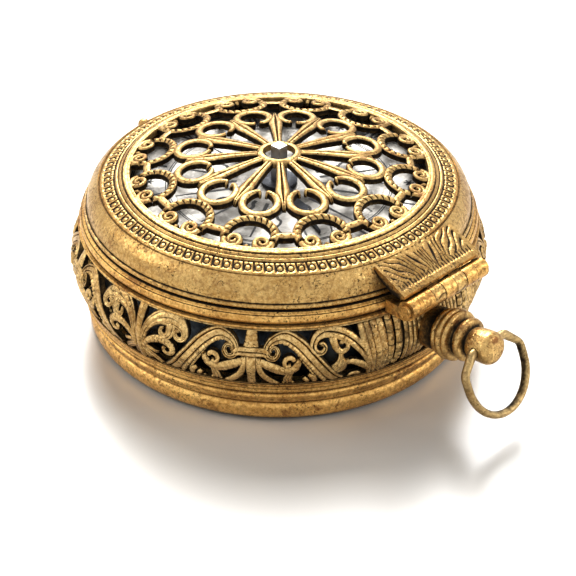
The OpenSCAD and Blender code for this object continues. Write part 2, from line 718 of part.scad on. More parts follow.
module pillars() {
    color("#c7a04d") for (a = pillar_turns) rotate(a) translate([pillar_at, 0, rear_top_z]) {
        cylinder(r = 1.3, h = 1);
        translate([0, 0, 1]) cylinder(r1 = 1.3, r2 = 0.8, h = plate_gap / 2 - 1);
        translate([0, 0, plate_gap / 2]) cylinder(r1 = 0.8, r2 = 1.3, h = plate_gap / 2 - 1);
        translate([0, 0, plate_gap - 1]) cylinder(r = 1.3, h = 1);
        translate([0, 0, plate_gap]) cylinder(r = 0.67, h = plate_t);
        difference() {
            translate([0, 0, -plate_t - 1.1]) cylinder(r = 0.67, h = plate_t + 1.1);
            translate([0, 0, -plate_t - 0.5]) rotate([0, 90, 0]) cylinder(r = 0.25, h = 4, center = true);
        }
    }
}

module pillar_pins() {
    color("#8d8f92") for (a = pillar_turns) rotate(a)
        translate([pillar_at, 0, rear_z - 0.5]) rotate([0, 90, 0]) cylinder(r = 0.23, h = 3, center = true);
}

module movement_leaf() {
    arm_z = case_h - leaf_slot;
    color("#b98f45") difference() {
        for (number = [1, 5]) {
            knuckle(number);
            translate([(number - 3) * knuckle_pitch - knuckle_l / 2, front_r - 3, arm_z])
                cube([knuckle_l, hinge_y - front_r + 3, leaf_slot - 0.05]);
        }
        cylinder(r = front_r, h = 60, $fn = fine);
        knuckle_bore();
    }
}

// Bolt that locks the movement in the case, drawn back at rest
module movement_bolt() {
    color("#8d8f92") {
        translate([0, -front_r + 0.15, front_z + 0.25]) linear_extrude(0.85)
            polygon([[-0.5, 0], [0.5, 0], [0.9, 0.4], [0.9, 3.6], [-0.9, 3.6], [-0.9, 0.4]]);
        translate([-0.5, -front_r + 2.2, front_z + 0.25]) cube([1, 0.8, plate_t + 0.3]);
    }
}

module bolt_housing() {
    color("#c7a04d") difference() {
        translate([-1.6, -front_r + 0.5, case_h]) cube([3.2, 2.7, 0.45]);
        translate([-0.6, -front_r + 0.9, case_h - 1]) cube([1.2, 2.2, 3]);
    }
}

module dial_ring() {
    color("#c7a04d") difference() {
        translate([0, 0, case_h]) cylinder(r = dial_r, h = dial_foot_z - case_h, $fn = fine);
        translate([0, 0, case_h - 1]) cylinder(r = ring_in_r, h = 10, $fn = fine);
    }
}

module dial_plate() {
    color("#c7a04d") translate([0, 0, dial_foot_z]) difference() {
        cylinder(r = dial_r, h = dial_t, $fn = fine);
        translate([0, 0, -1]) cylinder(r = 2, h = 5);
    }
}

// Silver ring with a numeral's block for each hour
module chapter_ring() {
    color("#c9c9c6") translate([0, 0, dial_z]) difference() {
        cylinder(r = dial_r - 0.6, h = chapter_t, $fn = fine);
        translate([0, 0, -1]) cylinder(r = chapter_in_r, h = 3, $fn = fine);
    }
}

module dial_centre() {
    color("#b9b9b6") translate([0, 0, dial_z]) difference() {
        cylinder(r = chapter_in_r - 0.05, h = chapter_t, $fn = fine);
        translate([0, 0, -1]) cylinder(r = 2, h = 3);
    }
}

module centre_stud() {
    color("#8d8f92") {
        translate([0, 0, front_z - 0.5]) cylinder(r = 1.9, h = 0.5);
        translate([0, 0, front_z]) cylinder(r = 1.17, h = plate_t);
        translate([0, 0, case_h]) cylinder(r = 0.7, h = dial_z - case_h);
    }
}

module hour_wheel() {
    color("#c7a04d") difference() {
        union() {
            translate([0, 0, motion_z]) wheel(hour_teeth, great_m, wheel_t, spokes = 4);
            translate([0, 0, motion_z]) cylinder(r = 1.5, h = hand_z - motion_z);
            // Square post, through the hand and the cover's hub
            translate([-post_w / 2, -post_w / 2, hand_z - eps]) cube([post_w, post_w, post_top - hand_z]);
        }
        translate([0, 0, motion_z - 1]) cylinder(r = 0.7 + fit, h = dial_z - motion_z + 1.2);
    }
}

// Single hour hand, pointing a little before one
module hand() {
    length = chapter_in_r - 0.1;
    color("#4a4c50") rotate(67) translate([0, 0, hand_z]) linear_extrude(0.45) difference() {
        union() {
            circle(2.6, $fn = 40);
            polygon([[1.5, -0.7], [6, -0.45], [8, -0.9], [10, -0.4], [length, -0.1],
                     [length, 0.1], [10, 0.4], [8, 0.9], [6, 0.45], [1.5, 0.7]]);
            translate([-5, -0.5]) square([4, 1]);
        }
        rotate(-67) square(post_w + 2 * fit, center = true);
    }
}

// Fusee with its winding square behind and the pinion that drives the hand
module fusee() {
    step = fusee_h / (fusee_grooves + 1);
    color("#c29a4c") translate(fusee_at) {
        translate([0, 0, fusee_z]) difference() {
            union() {
                cylinder(r1 = fusee_foot_r, r2 = fusee_top_r, h = fusee_h);
                translate([0, 0, fusee_h]) cylinder(r = fusee_top_r + 0.5, h = 0.5);
            }
            for (i = [1 : fusee_grooves])
                translate([0, 0, i * step])
                    rotate_extrude() translate([fusee_foot_r - (fusee_foot_r - fusee_top_r) * i / (fusee_grooves + 1) + 0.1, 0])
                        circle(0.28, $fn = 16);
            translate([0, 0, -1]) cylinder(r = drum_arbor_r, h = 20);
        }
    }
}

module great_wheel() {
    square_z = rear_z - 2.9;
    color("#c7a04d") translate(fusee_at) {
        translate([0, 0, great_z]) wheel(great_teeth, great_m, wheel_t, spokes = 5);
        translate([0, 0, square_z + 0.5]) cylinder(r = drum_arbor_r, h = dial_foot_z - 0.3 - square_z - 0.5);
        translate([-0.55, -0.55, square_z]) cube([1.1, 1.1, 0.55]);
        translate([0, 0, motion_z])
            pinion(cannon_leaves, great_m, wheel_t, meshed_turn(fusee_turn, hour_teeth, 0, cannon_leaves));
    }
}

// Tangent line from the barrel to the fusee
module gut_line() {
    reach = going_at - fusee_at;
    span = norm(reach);
    heading = atan2(reach[1], reach[0]);
    groove_r = fusee_foot_r - 1.4;
    slope = asin((drum_r - groove_r) / span);
    color("#a8875a") translate(fusee_at) rotate(heading) rotate(90 + slope)
        translate([groove_r + line_r + 0.35, 0, line_z]) rotate([90, 0, 0])
            translate([0, 0, 0.4]) cylinder(r = line_r, h = span * cos(slope) - 0.8, $fn = 16);
}

module drum(h, r = drum_r) {
    difference() {
        cylinder(r = r, h = h);
        translate([0, 0, 0.5]) cylinder(r = r - 0.5, h = h - 1);
        translate([0, 0, -1]) cylinder(r = drum_arbor_r + fit, h = h + 2);
    }
}

module spring_strip(h, turns = 5) {
    inner = 1.3;
    outer = drum_r - 0.8;
    steps = turns * 20;
    linear_extrude(h) polygon(concat(
        [for (i = [0 : steps]) polar(inner + (outer - inner) * i / steps, i * 18)],
        [for (i = [steps : -1 : 0]) polar(inner + 0.22 + (outer - inner) * i / steps, i * 18)]));
}

module going_barrel() {
    color("#c29a4c") translate([going_at[0], going_at[1], going_drum_z]) drum(going_drum_h);
}

module going_spring() {
    color("#5c6066") translate([going_at[0], going_at[1], going_drum_z + 0.8]) spring_strip(going_drum_h - 1.6);
}

// Arbor of the going barrel with its set-up ratchet behind the rear plate
module setup_arbor() {
    color("#8d8f92") translate(going_at) {
        translate([0, 0, rear_z - 0.9]) cylinder(r = drum_arbor_r, h = front_z + plate_t - rear_z + 0.9);
        translate([0, 0, rear_z - 0.9]) linear_extrude(0.7)
            polygon([
                for (i = [0 : ratchet_teeth - 1])
                    for (row = [[ratchet_root_r, 0], [ratchet_r, 8]])
                        polar(row[0], ratchet_turn + i * 360 / ratchet_teeth + row[1])
            ]);
    }
}

// Click against the steep side of a ratchet tooth
module setup_click() {
    eye = click_at - going_at;
    color("#8d8f92") translate([going_at[0], going_at[1], rear_z - 0.9]) difference() {
        union() {
            translate(eye) cylinder(r = 0.9, h = 0.7, $fn = 32);
            linear_extrude(0.7) polygon([
                polar(ratchet_root_r + 0.1, ratchet_turn + 44.5), polar(ratchet_r, ratchet_turn + 51),
                polar(ratchet_r + 0.5, ratchet_turn + 50), eye + polar(0.7, 65), eye + polar(0.7, 165),
                polar(ratchet_r + 0.08, ratchet_turn + 33)
            ]);
        }
        translate([eye[0], eye[1], -1]) cylinder(r = stud_pin_r + fit, h = 3, $fn = 32);
    }
}

module second_wheel() {
    color("#c7a04d") translate(second_at) {
        arbor();
        translate([0, 0, great_z - 0.1])
            pinion(second_leaves, great_m, wheel_t + 0.2, meshed_turn(second_turn, great_teeth, 0, second_leaves));
        translate([0, 0, second_z]) wheel(second_teeth, second_m, wheel_t, spokes = 4);
    }
}

module contrate_wheel() {
    floor_z = contrate_pitch_z - 1.4;
    tooth_w = 2 * PI * contrate_r / contrate_teeth * 0.4;
    color("#c7a04d") translate(contrate_at) {
        arbor();
        translate([0, 0, second_z - 0.1])
            pinion(contrate_leaves, second_m, wheel_t + 0.2, meshed_turn(contrate_turn, second_teeth, 0, contrate_leaves));
        translate([0, 0, floor_z]) linear_extrude(0.5) difference() {
            circle(contrate_r + 0.45);
            difference() {
                circle(contrate_r - 0.5);
                circle(1);
                for (i = [0 : 3]) rotate(i * 90) translate([0, -0.35]) square([contrate_r, 0.7]);
            }
        }
        translate([0, 0, floor_z + 0.5]) difference() {
            cylinder(r = contrate_r + 0.45, h = 0.64);
            translate([0, 0, -1]) cylinder(r = contrate_r - 0.45, h = 3);
        }
        for (i = [0 : contrate_teeth - 1])
            rotate(i * 360 / contrate_teeth) translate([contrate_r - 0.4, 0, floor_z + 1.1])
                rotate([90, 0, 90]) linear_extrude(0.8)
                    polygon([[-tooth_w / 2, 0], [tooth_w / 2, 0], [tooth_w / 2, 0.3],
                             [tooth_w / 6, 0.48], [-tooth_w / 6, 0.48], [-tooth_w / 2, 0.3]]);
    }
}

// Puts a part of the crown wheel's line at its distance from the contrate arbor
module on_crown_line(out) {
    translate([contrate_at[0], contrate_at[1], crown_z]) rotate(crown_turn) translate([out, 0, 0])
        rotate([0, 90, 0]) children();
}

module potence_block(out, length, low, width) {
    difference() {
        translate(contrate_at) rotate(crown_turn)
            translate([out, -width / 2, crown_z - low]) cube([length, width, front_z - crown_z + low]);
        on_crown_line(out - 1) cylinder(r = pivot_r + fit, h = length + 2, $fn = 32);
    }
}

module crown_potence() {
    color("#c7a04d") potence_block(5.2, 0.9, 1, 2.6);
}

module counter_potence() {
    color("#c7a04d") potence_block(1.1, 1.2, 0.8, 2);
}

module crown_wheel() {
    hub_out = 6.25;
    color("#c7a04d") {
        on_crown_line(1.3) cylinder(r = pivot_r, h = crown_out - 1.3 + 0.4, $fn = 32);
        on_crown_line(2.4) cylinder(r = 0.42, h = 2.7, $fn = 32);
        on_crown_line(contrate_r - 0.55) pinion(crown_leaves, contrate_m, 1.1, turn = 22.5);
        on_crown_line(hub_out) linear_extrude(0.45) difference() {
            circle(crown_r);
            difference() {
                circle(crown_r - 0.5);
                circle(0.9);
                for (i = [0 : 2]) rotate(i * 120) translate([0, -0.35]) square([crown_r, 0.7]);
            }
        }
        on_crown_line(hub_out + 0.45) difference() {
            cylinder(r = crown_r, h = 0.5);
            translate([0, 0, -1]) cylinder(r = crown_r - 0.4, h = 3);
        }
        for (i = [0 : crown_teeth - 1])
            on_crown_line(hub_out + 0.9) rotate(i * 360 / crown_teeth + 6) translate([crown_r - 0.35, 0, 0])
                rotate([90, 0, 90]) linear_extrude(0.3)
                    polygon([[-0.45, 0], [0.45, 0], [0.45, 0.3], [0.3, crown_tip - hub_out - 0.9],
                             [0.15, crown_tip - hub_out - 0.9]]);
    }
}

// Upright verge with its two pallets
module verge() {
    color("#6b6e73") translate(verge_at) {
        translate([0, 0, cock_z + 0.2]) cylinder(r = pivot_r, h = 1);
        translate([0, 0, cock_z + cock_t + 0.1]) cylinder(r = 0.5, h = front_z - 0.1 - cock_z - cock_t - 0.1);
        translate([0, 0, front_z - 0.2]) cylinder(r = pivot_r, h = 1);
        for (side = [-1, 1])
            rotate(crown_turn + 180 + side * 50) translate([0.3, -0.12, crown_z + side * (crown_r - 0.35) - 0.4])
                cube([0.8, 0.24, 0.8]);
    }
}

module balance_wheel() {
    color("#c29a4c") translate([verge_at[0], verge_at[1], balance_z]) linear_extrude(0.7) {
        difference() {
            circle(balance_r, $fn = fine);
            circle(balance_r - 0.8, $fn = fine);
        }
        difference() {
            union() {
                circle(1.2);
                square([2 * balance_r - 1, 0.8], center = true);
            }
            circle(0.5 + eps);
        }
    }
}

// Cock under the balance, on a foot at the edge of the rear plate
module balance_cock() {
    away = atan2(verge_at[1], verge_at[0]);
    from_middle = norm(verge_at);
    foot_out = from_middle + balance_r + 0.4;
    color("#c7a04d") difference() {
        intersection() {
            union() {
                translate([verge_at[0], verge_at[1], cock_z]) cylinder(r = cock_w, h = cock_t);
                rotate(away) translate([from_middle, -cock_w / 2, cock_z]) cube([cock_edge_r, cock_w, cock_t]);
                rotate(away) translate([foot_out, -cock_foot_w / 2, cock_z])
                    cube([cock_edge_r, cock_foot_w, rear_z - cock_z]);
            }
            cylinder(r = cock_edge_r, h = through, $fn = fine);
        }
        translate(verge_at) cylinder(r = pivot_r + fit, h = 30);
    }
}

module strike_barrel() {
    color("#c29a4c") translate([strike_at[0], strike_at[1], strike_drum_z]) difference() {
        drum(strike_drum_h);
        translate([0, 0, -1]) cylinder(r = drum_arbor_r, h = 20);
    }
}

module strike_spring() {
    color("#5c6066") translate([strike_at[0], strike_at[1], strike_drum_z + 0.7]) spring_strip(strike_drum_h - 1.4);
}

module strike_great_wheel() {
    color("#c7a04d") translate(strike_at) {
        translate([0, 0, strike_z]) wheel(strike_teeth, strike_m, wheel_t, spokes = 0);
        translate([0, 0, rear_z - 1.6]) cylinder(r = drum_arbor_r, h = front_z + plate_t - 0.2 - rear_z + 1.6);
    }
}

// Count wheel, its notches one to twelve blows apart
module count_wheel() {
    count_r = 6;
    blow = 360 / 78;
    color("#c7a04d") translate([strike_at[0], strike_at[1], rear_z - 1.1]) linear_extrude(0.8) difference() {
        circle(count_r);
        for (hour = [1 : 12])
            rotate(-blow * hour * (hour + 1) / 2 + 215) translate([count_r - 0.7, -0.25]) square([2, 0.5]);
        difference() {
            circle(count_r - 1.6);
            circle(1.6);
            for (i = [0 : 3]) rotate(i * 90) translate([0, -0.4]) square([count_r, 0.8]);
        }
        circle(drum_arbor_r);
    }
}

module pin_wheel() {
    color("#c7a04d") translate(pin_at) {
        arbor();
        translate([0, 0, strike_z - 0.1])
            pinion(pin_leaves, strike_m, wheel_t + 0.2, meshed_turn(pin_turn, strike_teeth, 0, pin_leaves));
        translate([0, 0, pin_z]) wheel(pin_teeth, pin_m, 0.6, spokes = 4);
        for (i = [0 : pins - 1])
            rotate(i * 360 / pins) translate([pin_circle_r, 0, pin_z + 0.3]) cylinder(r = pin_r, h = 1.2, $fn = 16);
    }
}

module hoop_wheel() {
    color("#c7a04d") translate(hoop_at) {
        arbor();
        translate([0, 0, pin_z - 0.1]) pinion(hoop_leaves, pin_m, 0.8, meshed_turn(hoop_turn, pin_teeth, 0, hoop_leaves));
        translate([0, 0, hoop_z]) wheel(hoop_teeth, pin_m, 0.6, spokes = 3);
        translate([0, 0, hoop_z - 0.7]) difference() {
            cylinder(r = 2.6, h = 0.7);
            translate([0, 0, -1]) cylinder(r = 2.2, h = 3);
            translate([0, -0.6, -1]) cube([4, 1.2, 3]);
        }
    }
}

module fly() {
    color("#8d8f92") translate(fly_at) {
        arbor();
        translate([0, 0, hoop_z - 0.1]) pinion(fly_leaves, pin_m, 0.8, meshed_turn(fly_turn, hoop_teeth, 0, fly_leaves));
        translate([-2.3, -0.15, arbor_low + 0.5]) cube([4.6, 0.3, 2.6]);
    }
}

// Hammer: tail at the pin wheel's pins, head at the bell's wall
module hammer() {
    tail = pin_at - hammer_at;
    tail_l = norm(tail) - pin_circle_r - pin_r - 0.2;
    head_at = polar(bell_in_r - 1.8, 165);
    head = head_at - hammer_at;
    color("#6b6e73") translate(hammer_at) {
        arbor();
        rotate(atan2(tail[1], tail[0])) translate([0, -0.35, pin_z + 0.8]) cube([tail_l, 0.7, 0.6]);
        rotate(atan2(head[1], head[0])) translate([0, -0.4, crown_z - 1.2]) cube([norm(head), 0.8, 0.8]);
        translate([head[0], head[1], crown_z - 1.8]) cylinder(r = 1.05, h = 2);
    }
}

module hammer_spring() {
    post = polar(rear_plate_r - 1.6, 176);
    reach = hammer_at - post;
    heading = atan2(reach[1], reach[0]);
    color("#5c6066") translate([post[0], post[1], rear_top_z]) {
        cylinder(r = 0.7, h = 1.6);
        rotate(heading) translate([0, -0.12, 0.3]) cube([norm(reach) - arbor_r - 0.35, 0.24, 1]);
    }
}

// Detent that drops into the count wheel's notches
module count_detent() {
    nose_at = strike_at + polar(6.3, -147);
    nose = nose_at - detent_at;
    color("#6b6e73") translate([detent_at[0], detent_at[1], rear_z - 1.1]) {
        linear_extrude(0.7) difference() {
            union() {
                circle(0.9);
                rotate(atan2(nose[1], nose[0])) translate([0, -0.3]) square([norm(nose), 0.6]);
            }
            circle(stud_pin_r + fit, $fn = 32);
        }
    }
}

case_band();
rim_moulding();
base_moulding();
case_back();
case_knuckles();
hinge_pin();
pendant();
bow();
catch_keeper();
bell();
bell_stud();
bell_nut();
cover_bezel();
cover_grille();
cover_leaf();
cover_lug();
front_plate();
rear_plate();
pillars();
pillar_pins();
movement_leaf();
movement_bolt();
bolt_housing();
dial_ring();
dial_plate();
chapter_ring();
dial_centre();
centre_stud();
hour_wheel();
hand();
fusee();
great_wheel();
gut_line();
going_barrel();
going_spring();
setup_arbor();
setup_click();
second_wheel();
contrate_wheel();
crown_potence();
counter_potence();
crown_wheel();
verge();
balance_wheel();
balance_cock();
strike_barrel();
strike_spring();
strike_great_wheel();
count_wheel();
pin_wheel();
hoop_wheel();
fly();
hammer();
hammer_spring();
count_detent();
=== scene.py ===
import json
import logging
import math
from dataclasses import dataclass, field
from enum import Enum
from typing import Callable, Sequence

import bmesh
import bpy
import numpy as np
from mathutils import Matrix, Vector


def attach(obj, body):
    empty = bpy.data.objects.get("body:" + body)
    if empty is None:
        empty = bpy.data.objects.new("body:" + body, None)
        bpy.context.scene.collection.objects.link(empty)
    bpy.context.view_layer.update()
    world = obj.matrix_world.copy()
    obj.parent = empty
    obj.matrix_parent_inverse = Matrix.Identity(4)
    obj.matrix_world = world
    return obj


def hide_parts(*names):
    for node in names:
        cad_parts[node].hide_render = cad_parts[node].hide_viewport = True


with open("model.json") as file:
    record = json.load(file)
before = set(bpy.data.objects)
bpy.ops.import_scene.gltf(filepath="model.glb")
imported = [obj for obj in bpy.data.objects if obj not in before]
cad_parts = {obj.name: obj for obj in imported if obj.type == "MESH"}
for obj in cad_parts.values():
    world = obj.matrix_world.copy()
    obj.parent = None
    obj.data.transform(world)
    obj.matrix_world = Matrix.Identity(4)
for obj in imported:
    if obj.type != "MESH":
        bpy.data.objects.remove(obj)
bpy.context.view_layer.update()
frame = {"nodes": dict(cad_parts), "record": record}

logging.basicConfig(level=logging.INFO, format="%(message)s")
log = logging.getLogger("striking_watch")

Pair = tuple[float, float]
Triple = tuple[float, float, float]
BMesh = bmesh.types.BMesh
Socket = bpy.types.NodeSocket

MM = 0.001
UP = Vector((0, 0, 1))
# Per-point darkening that the pieces carry: dirt in grooves and hollows, and painted shade on some pieces.
DIRT_AND_SHADE = "dirt_and_shade"


class Section(Enum):
    """Cross section that a chased bar has."""

    ROUND = "round"
    GROOVED = "grooved"
    STRAP = "strap"
    LEAF = "leaf"
    ROPE = "rope"
    BEADED = "beaded"
    FLAT = "flat"
    NOTCHED = "notched"


BEAD_PITCH, ROPE_PITCH, NOTCH_PITCH = 0.62, 0.95, 0.78
END_SHARE = 0.6
# Darkening given to the foot and underside of every bar.
FOOT_DARKENING = 0.7


def bell_curve(value: float, width: float) -> float:
    """Smooth bump of height 1 at 0."""
    return math.exp(-(value / width) ** 2)


def slope(s: float) -> float:
    """Share of a bar's side at s across it: 0 on its crest and 1 at its foot."""
    return max(0.0, (abs(s) - 0.7) / 0.3)


def bead_swell(run: float) -> float:
    """Swell of a row of beads at a place along it."""
    return abs(math.sin(math.pi * run / BEAD_PITCH))


def round_relief(s: float, run: float) -> Pair:
    """Height and dirt of a plain rounded bar."""
    return 1.0 - 0.3 * abs(s) ** 3, 0.9 * slope(s)


def grooved_relief(s: float, run: float) -> Pair:
    """Height and dirt of a rounded bar with one groove along it."""
    height, dirt = round_relief(s, run)
    dip = bell_curve(s, 0.17)
    return height - 0.32 * dip, max(dirt, 0.9 * dip)


def strap_relief(s: float, run: float) -> Pair:
    """Height and dirt of a flat strap between a plain border and a border of beads."""
    bead = (s - 0.76) / 0.24
    height, dirt = 0.74 + 0.06 * math.cos(1.6 * s), 0.12
    if bead > -1:
        swell = bead_swell(run)
        height = 0.66 + 0.3 * math.sqrt(max(0.0, 1 - bead * bead)) * (0.5 + 0.5 * swell)
        dirt = max(0.7 * (1 - swell), 0.8 * slope(s))
    elif s < -0.6:
        height, dirt = 0.95 - 2.2 * (s + 0.78) ** 2, 0.8 * slope(s)
    dip = max(bell_curve(s - 0.42, 0.09), bell_curve(s + 0.52, 0.09))
    return height - 0.3 * dip, max(dirt, dip)


def veined_relief(s: float, run: float) -> Pair:
    """Height and dirt of a leaf with veins along it."""
    vein = 0.5 + 0.5 * math.cos(math.pi * 3 * s + 0.4 * run)
    return (1.0 - 0.3 * s * s) * (0.84 + 0.16 * vein), max(0.9 * slope(s), 0.75 * (1 - vein) ** 2)


def rope_relief(s: float, run: float) -> Pair:
    """Height and dirt of a bar with slanted strokes across its crest."""
    reach = min(1.0, max(0.0, 1.5 - 1.7 * abs(s - 0.15)))
    stroke = max(0.0, math.cos(2 * math.pi * (run / ROPE_PITCH + 0.35 * s))) ** 3 * reach
    return (1.0 - 0.3 * s * s) * (1 - 0.34 * stroke), max(0.9 * slope(s), min(1.0, 2.2 * stroke))


def beaded_relief(s: float, run: float) -> Pair:
    """Height and dirt of a row of beads."""
    swell = bead_swell(run)
    return (1.0 - 0.4 * s * s) * (0.6 + 0.4 * swell), max(slope(s), 0.8 * (1 - swell) ** 2)


def notched_relief(s: float, run: float) -> Pair:
    """Height and dirt of a bar with notches cut across it."""
    notch = max(0.0, math.cos(2 * math.pi * run / NOTCH_PITCH + 2.2 * s)) ** 6
    return (1.0 - 0.3 * s * s) * (1 - 0.16 * notch), max(0.9 * slope(s), 0.65 * notch)


def flat_relief(s: float, run: float) -> Pair:
    """Height and dirt of a flat bar with broken edges."""
    return 1.0 if abs(s) < 0.8 else 0.82, 0.9 * slope(s)


@dataclass(frozen=True)
class Chasing:
    """How a section is made: its relief, its points across and its step along, in millimetres."""

    relief: Callable[[float, float], Pair]
    columns: int
    step: float = 0.3


CHASING = {
    Section.ROUND: Chasing(round_relief, 7),
    Section.GROOVED: Chasing(grooved_relief, 9),
    Section.STRAP: Chasing(strap_relief, 17, 0.17),
    Section.LEAF: Chasing(veined_relief, 11),
    Section.ROPE: Chasing(rope_relief, 9, 0.11),
    Section.BEADED: Chasing(beaded_relief, 7, 0.16),
    Section.FLAT: Chasing(flat_relief, 5),
    Section.NOTCHED: Chasing(notched_relief, 7, 0.16),
}


@dataclass(frozen=True)
class Stroke:
    """One chased bar: (x, y, width) points in millimetres on the flat pattern."""

    points: tuple[Triple, ...]
    crest: float = 0.85
    section: Section = Section.ROUND

    def samples(self) -> np.ndarray:
        """Even rows of x, y, width, run and side direction along a smooth curve.

        Returns:
            An array with one row per step: x, y, width, run, side x, side y.
        """
        raw = np.array(self.points, float)
        padded = np.vstack([2 * raw[0] - raw[1], raw, 2 * raw[-1] - raw[-2]])
        dense = []
        for i in range(1, len(padded) - 2):
            a, b, c, d = padded[i - 1:i + 3]
            for t in np.linspace(0, 1, 12, endpoint=False):
                dense.append(0.5 * (2 * b + (c - a) * t + (2 * a - 5 * b + 4 * c - d) * t ** 2
                                    + (3 * b - a - 3 * c + d) * t ** 3))
        dense.append(padded[-2])
        dense = np.array(dense)
        steps = np.hypot(*np.diff(dense[:, :2], axis=0).T)
        run = np.concatenate([[0], np.cumsum(steps)])
        count = max(3, int(run[-1] / CHASING[self.section].step) + 1)
        even = np.linspace(0, run[-1], count)
        rows = np.column_stack([np.interp(even, run, dense[:, k]) for k in range(3)])
        way = np.gradient(rows[:, :2], axis=0)
        way /= np.maximum(np.linalg.norm(way, axis=1), 1e-9)[:, None]
        return np.column_stack([rows, even, -way[:, 1], way[:, 0]])

    def lay(self, bm: BMesh, place: Callable[[float, float, float], Vector]) -> None:
        """Adds the bar to a mesh as a closed shape.

        Args:
            bm: the mesh that gets the bar; it carries the layer of dirt and painted shade.
            place: turns x, y and height of the flat pattern into a point of the piece.
        """
        rows = self.samples()
        chasing = CHASING[self.section]
        columns = chasing.columns + 2
        dirt_and_shade_layer = bm.verts.layers.float[DIRT_AND_SHADE]
        made = bmesh.ops.create_grid(bm, x_segments=len(rows) - 1, y_segments=columns - 1, size=1)
        verts = made["verts"]
        last = len(rows) - 1
        low, high = set(), set()
        for vert in verts:
            i = round((vert.co.x + 1) / 2 * last)
            j = round((vert.co.y + 1) / 2 * (columns - 1))
            x, y, width, run, side_x, side_y = rows[i]
            s = -1 + 2 * (min(max(j, 1), columns - 2) - 1) / (columns - 3)
            height, dirt = chasing.relief(s, run)
            height *= self.crest * (END_SHARE if i in (0, last) else 1)
            if j in (0, columns - 1):
                height, dirt = 0.0, FOOT_DARKENING
                (high if j else low).add(vert)
            vert[dirt_and_shade_layer] = min(1.0, max(0.0, dirt))
            vert.co = place(x + side_x * s * width / 2, y + side_y * s * width / 2, height)
        chains = [edge for edge in {e for v in low | high for e in v.link_edges}
                  if edge.is_boundary and (set(edge.verts) <= low or set(edge.verts) <= high)]
        bmesh.ops.bridge_loops(bm, edges=chains)
        ends = [edge for edge in {e for v in verts for e in v.link_edges} if edge.is_boundary]
        bmesh.ops.holes_fill(bm, edges=ends, sides=0)


def laid(bars: Sequence[Stroke], place: Callable[[float, float, float], Vector]) -> bpy.types.Mesh:
    """Mesh of bars, each laid on its piece by the function that places the flat pattern."""
    bm = blank()
    for stroke in bars:
        stroke.lay(bm, place)
    bmesh.ops.recalc_face_normals(bm, faces=bm.faces)
    mesh = bpy.data.meshes.new("bars")
    bm.to_mesh(mesh)
    bm.free()
    return mesh


def swung(points: Sequence[Triple], degrees: float) -> tuple[Triple, ...]:
    """Points of a bar, swung about the middle of the flat pattern."""
    turn = math.radians(degrees)
    return tuple((x * math.cos(turn) - y * math.sin(turn), x * math.sin(turn) + y * math.cos(turn), width)
                 for x, y, width in points)


def blank() -> BMesh:
    """Empty mesh with the layer of dirt and painted shade."""
    bm = bmesh.new()
    bm.verts.layers.float.new(DIRT_AND_SHADE)
    return bm


def spiral(cx: float, cy: float, start: float, turns: float, outer: float, inner: float,
           wide: float, narrow: float) -> list[Triple]:
    """Points of a volute that winds inwards.

    Args:
        cx, cy: centre of the volute.
        start: angle of its first point, in degrees.
        turns: turns that it makes, negative for clockwise.
        outer, inner: radius at its start and at its end.
        wide, narrow: width at its start and at its end.

    Returns:
        The points with their widths.
    """
    count = max(6, int(abs(turns) * 10))
    points = []
    for i in range(count + 1):
        t = i / count
        angle = math.radians(start + 360 * turns * t)
        radius = outer + (inner - outer) * t
        width = wide + (narrow - wide) * t
        points.append((cx + radius * math.cos(angle), cy + radius * math.sin(angle), width))
    return points


def rotate(bm: BMesh, degrees: float, axis: str) -> None:
    """Turns a whole mesh about X, Y or Z through the origin."""
    matrix = Matrix.Rotation(math.radians(degrees), 3, axis)
    bmesh.ops.rotate(bm, cent=(0, 0, 0), matrix=matrix, verts=bm.verts)


def shift(bm: BMesh, way: Sequence[float]) -> None:
    """Moves a whole mesh."""
    bmesh.ops.translate(bm, vec=way, verts=bm.verts)


def pour(part: BMesh, bm: BMesh) -> None:
    """Moves a mesh into another one and frees it."""
    mesh = bpy.data.meshes.new("part")
    part.to_mesh(mesh)
    part.free()
    bm.from_mesh(mesh)
    bpy.data.meshes.remove(mesh)


def spun(outline: Sequence[Pair], steps: int, closed: bool) -> BMesh:
    """Shape turned about Z from (radius, height) points in millimetres.

    Args:
        outline: the points, in order.
        steps: faces round the shape.
        closed: whether the last point joins the first.

    Returns:
        The mesh.
    """
    bm = blank()
    chain = [bm.verts.new((r, 0, z)) for r, z in outline]
    pairs = list(zip(chain, chain[1:])) + ([(chain[-1], chain[0])] if closed else [])
    edges = [bm.edges.new(pair) for pair in pairs]
    bmesh.ops.spin(bm, geom=chain + edges, cent=(0, 0, 0), axis=UP, angle=2 * math.pi, steps=steps,
                   use_merge=True)
    bmesh.ops.remove_doubles(bm, verts=bm.verts, dist=1e-4)
    return bm


def turned(profile: Sequence[Pair], steps: int, dirt: Callable[[float, float], float]) -> BMesh:
    """Ring turned from a closed profile.

    Args:
        profile: (radius, height) corners in millimetres, in order round the section.
        steps: faces round the ring.
        dirt: gives the dirt at a radius and a height.

    Returns:
        The closed ring.
    """
    bm = spun(profile, steps, True)
    layer = bm.verts.layers.float[DIRT_AND_SHADE]
    for vert in bm.verts:
        vert[layer] = dirt(math.hypot(vert.co.x, vert.co.y), vert.co.z)
    return bm


def add_turned(bm: BMesh, mesh: bpy.types.Mesh, degrees: float, side: int = 1) -> None:
    """Adds a copy of a mesh, mirrored for side -1, turned about the watch's axis."""
    copy = mesh.copy()
    copy.transform(Matrix.Rotation(math.radians(degrees), 4, "Z") @ Matrix.Diagonal((1, side, 1, 1)))
    if side < 0:
        copy.flip_normals()
    bm.from_mesh(copy)
    bpy.data.meshes.remove(copy)


def beside(r: float, z: float, steps: Sequence[Pair]) -> list[Pair]:
    """Points of a profile, each counted outwards and upwards from one place."""
    return [(r + out, z + up) for out, up in steps]


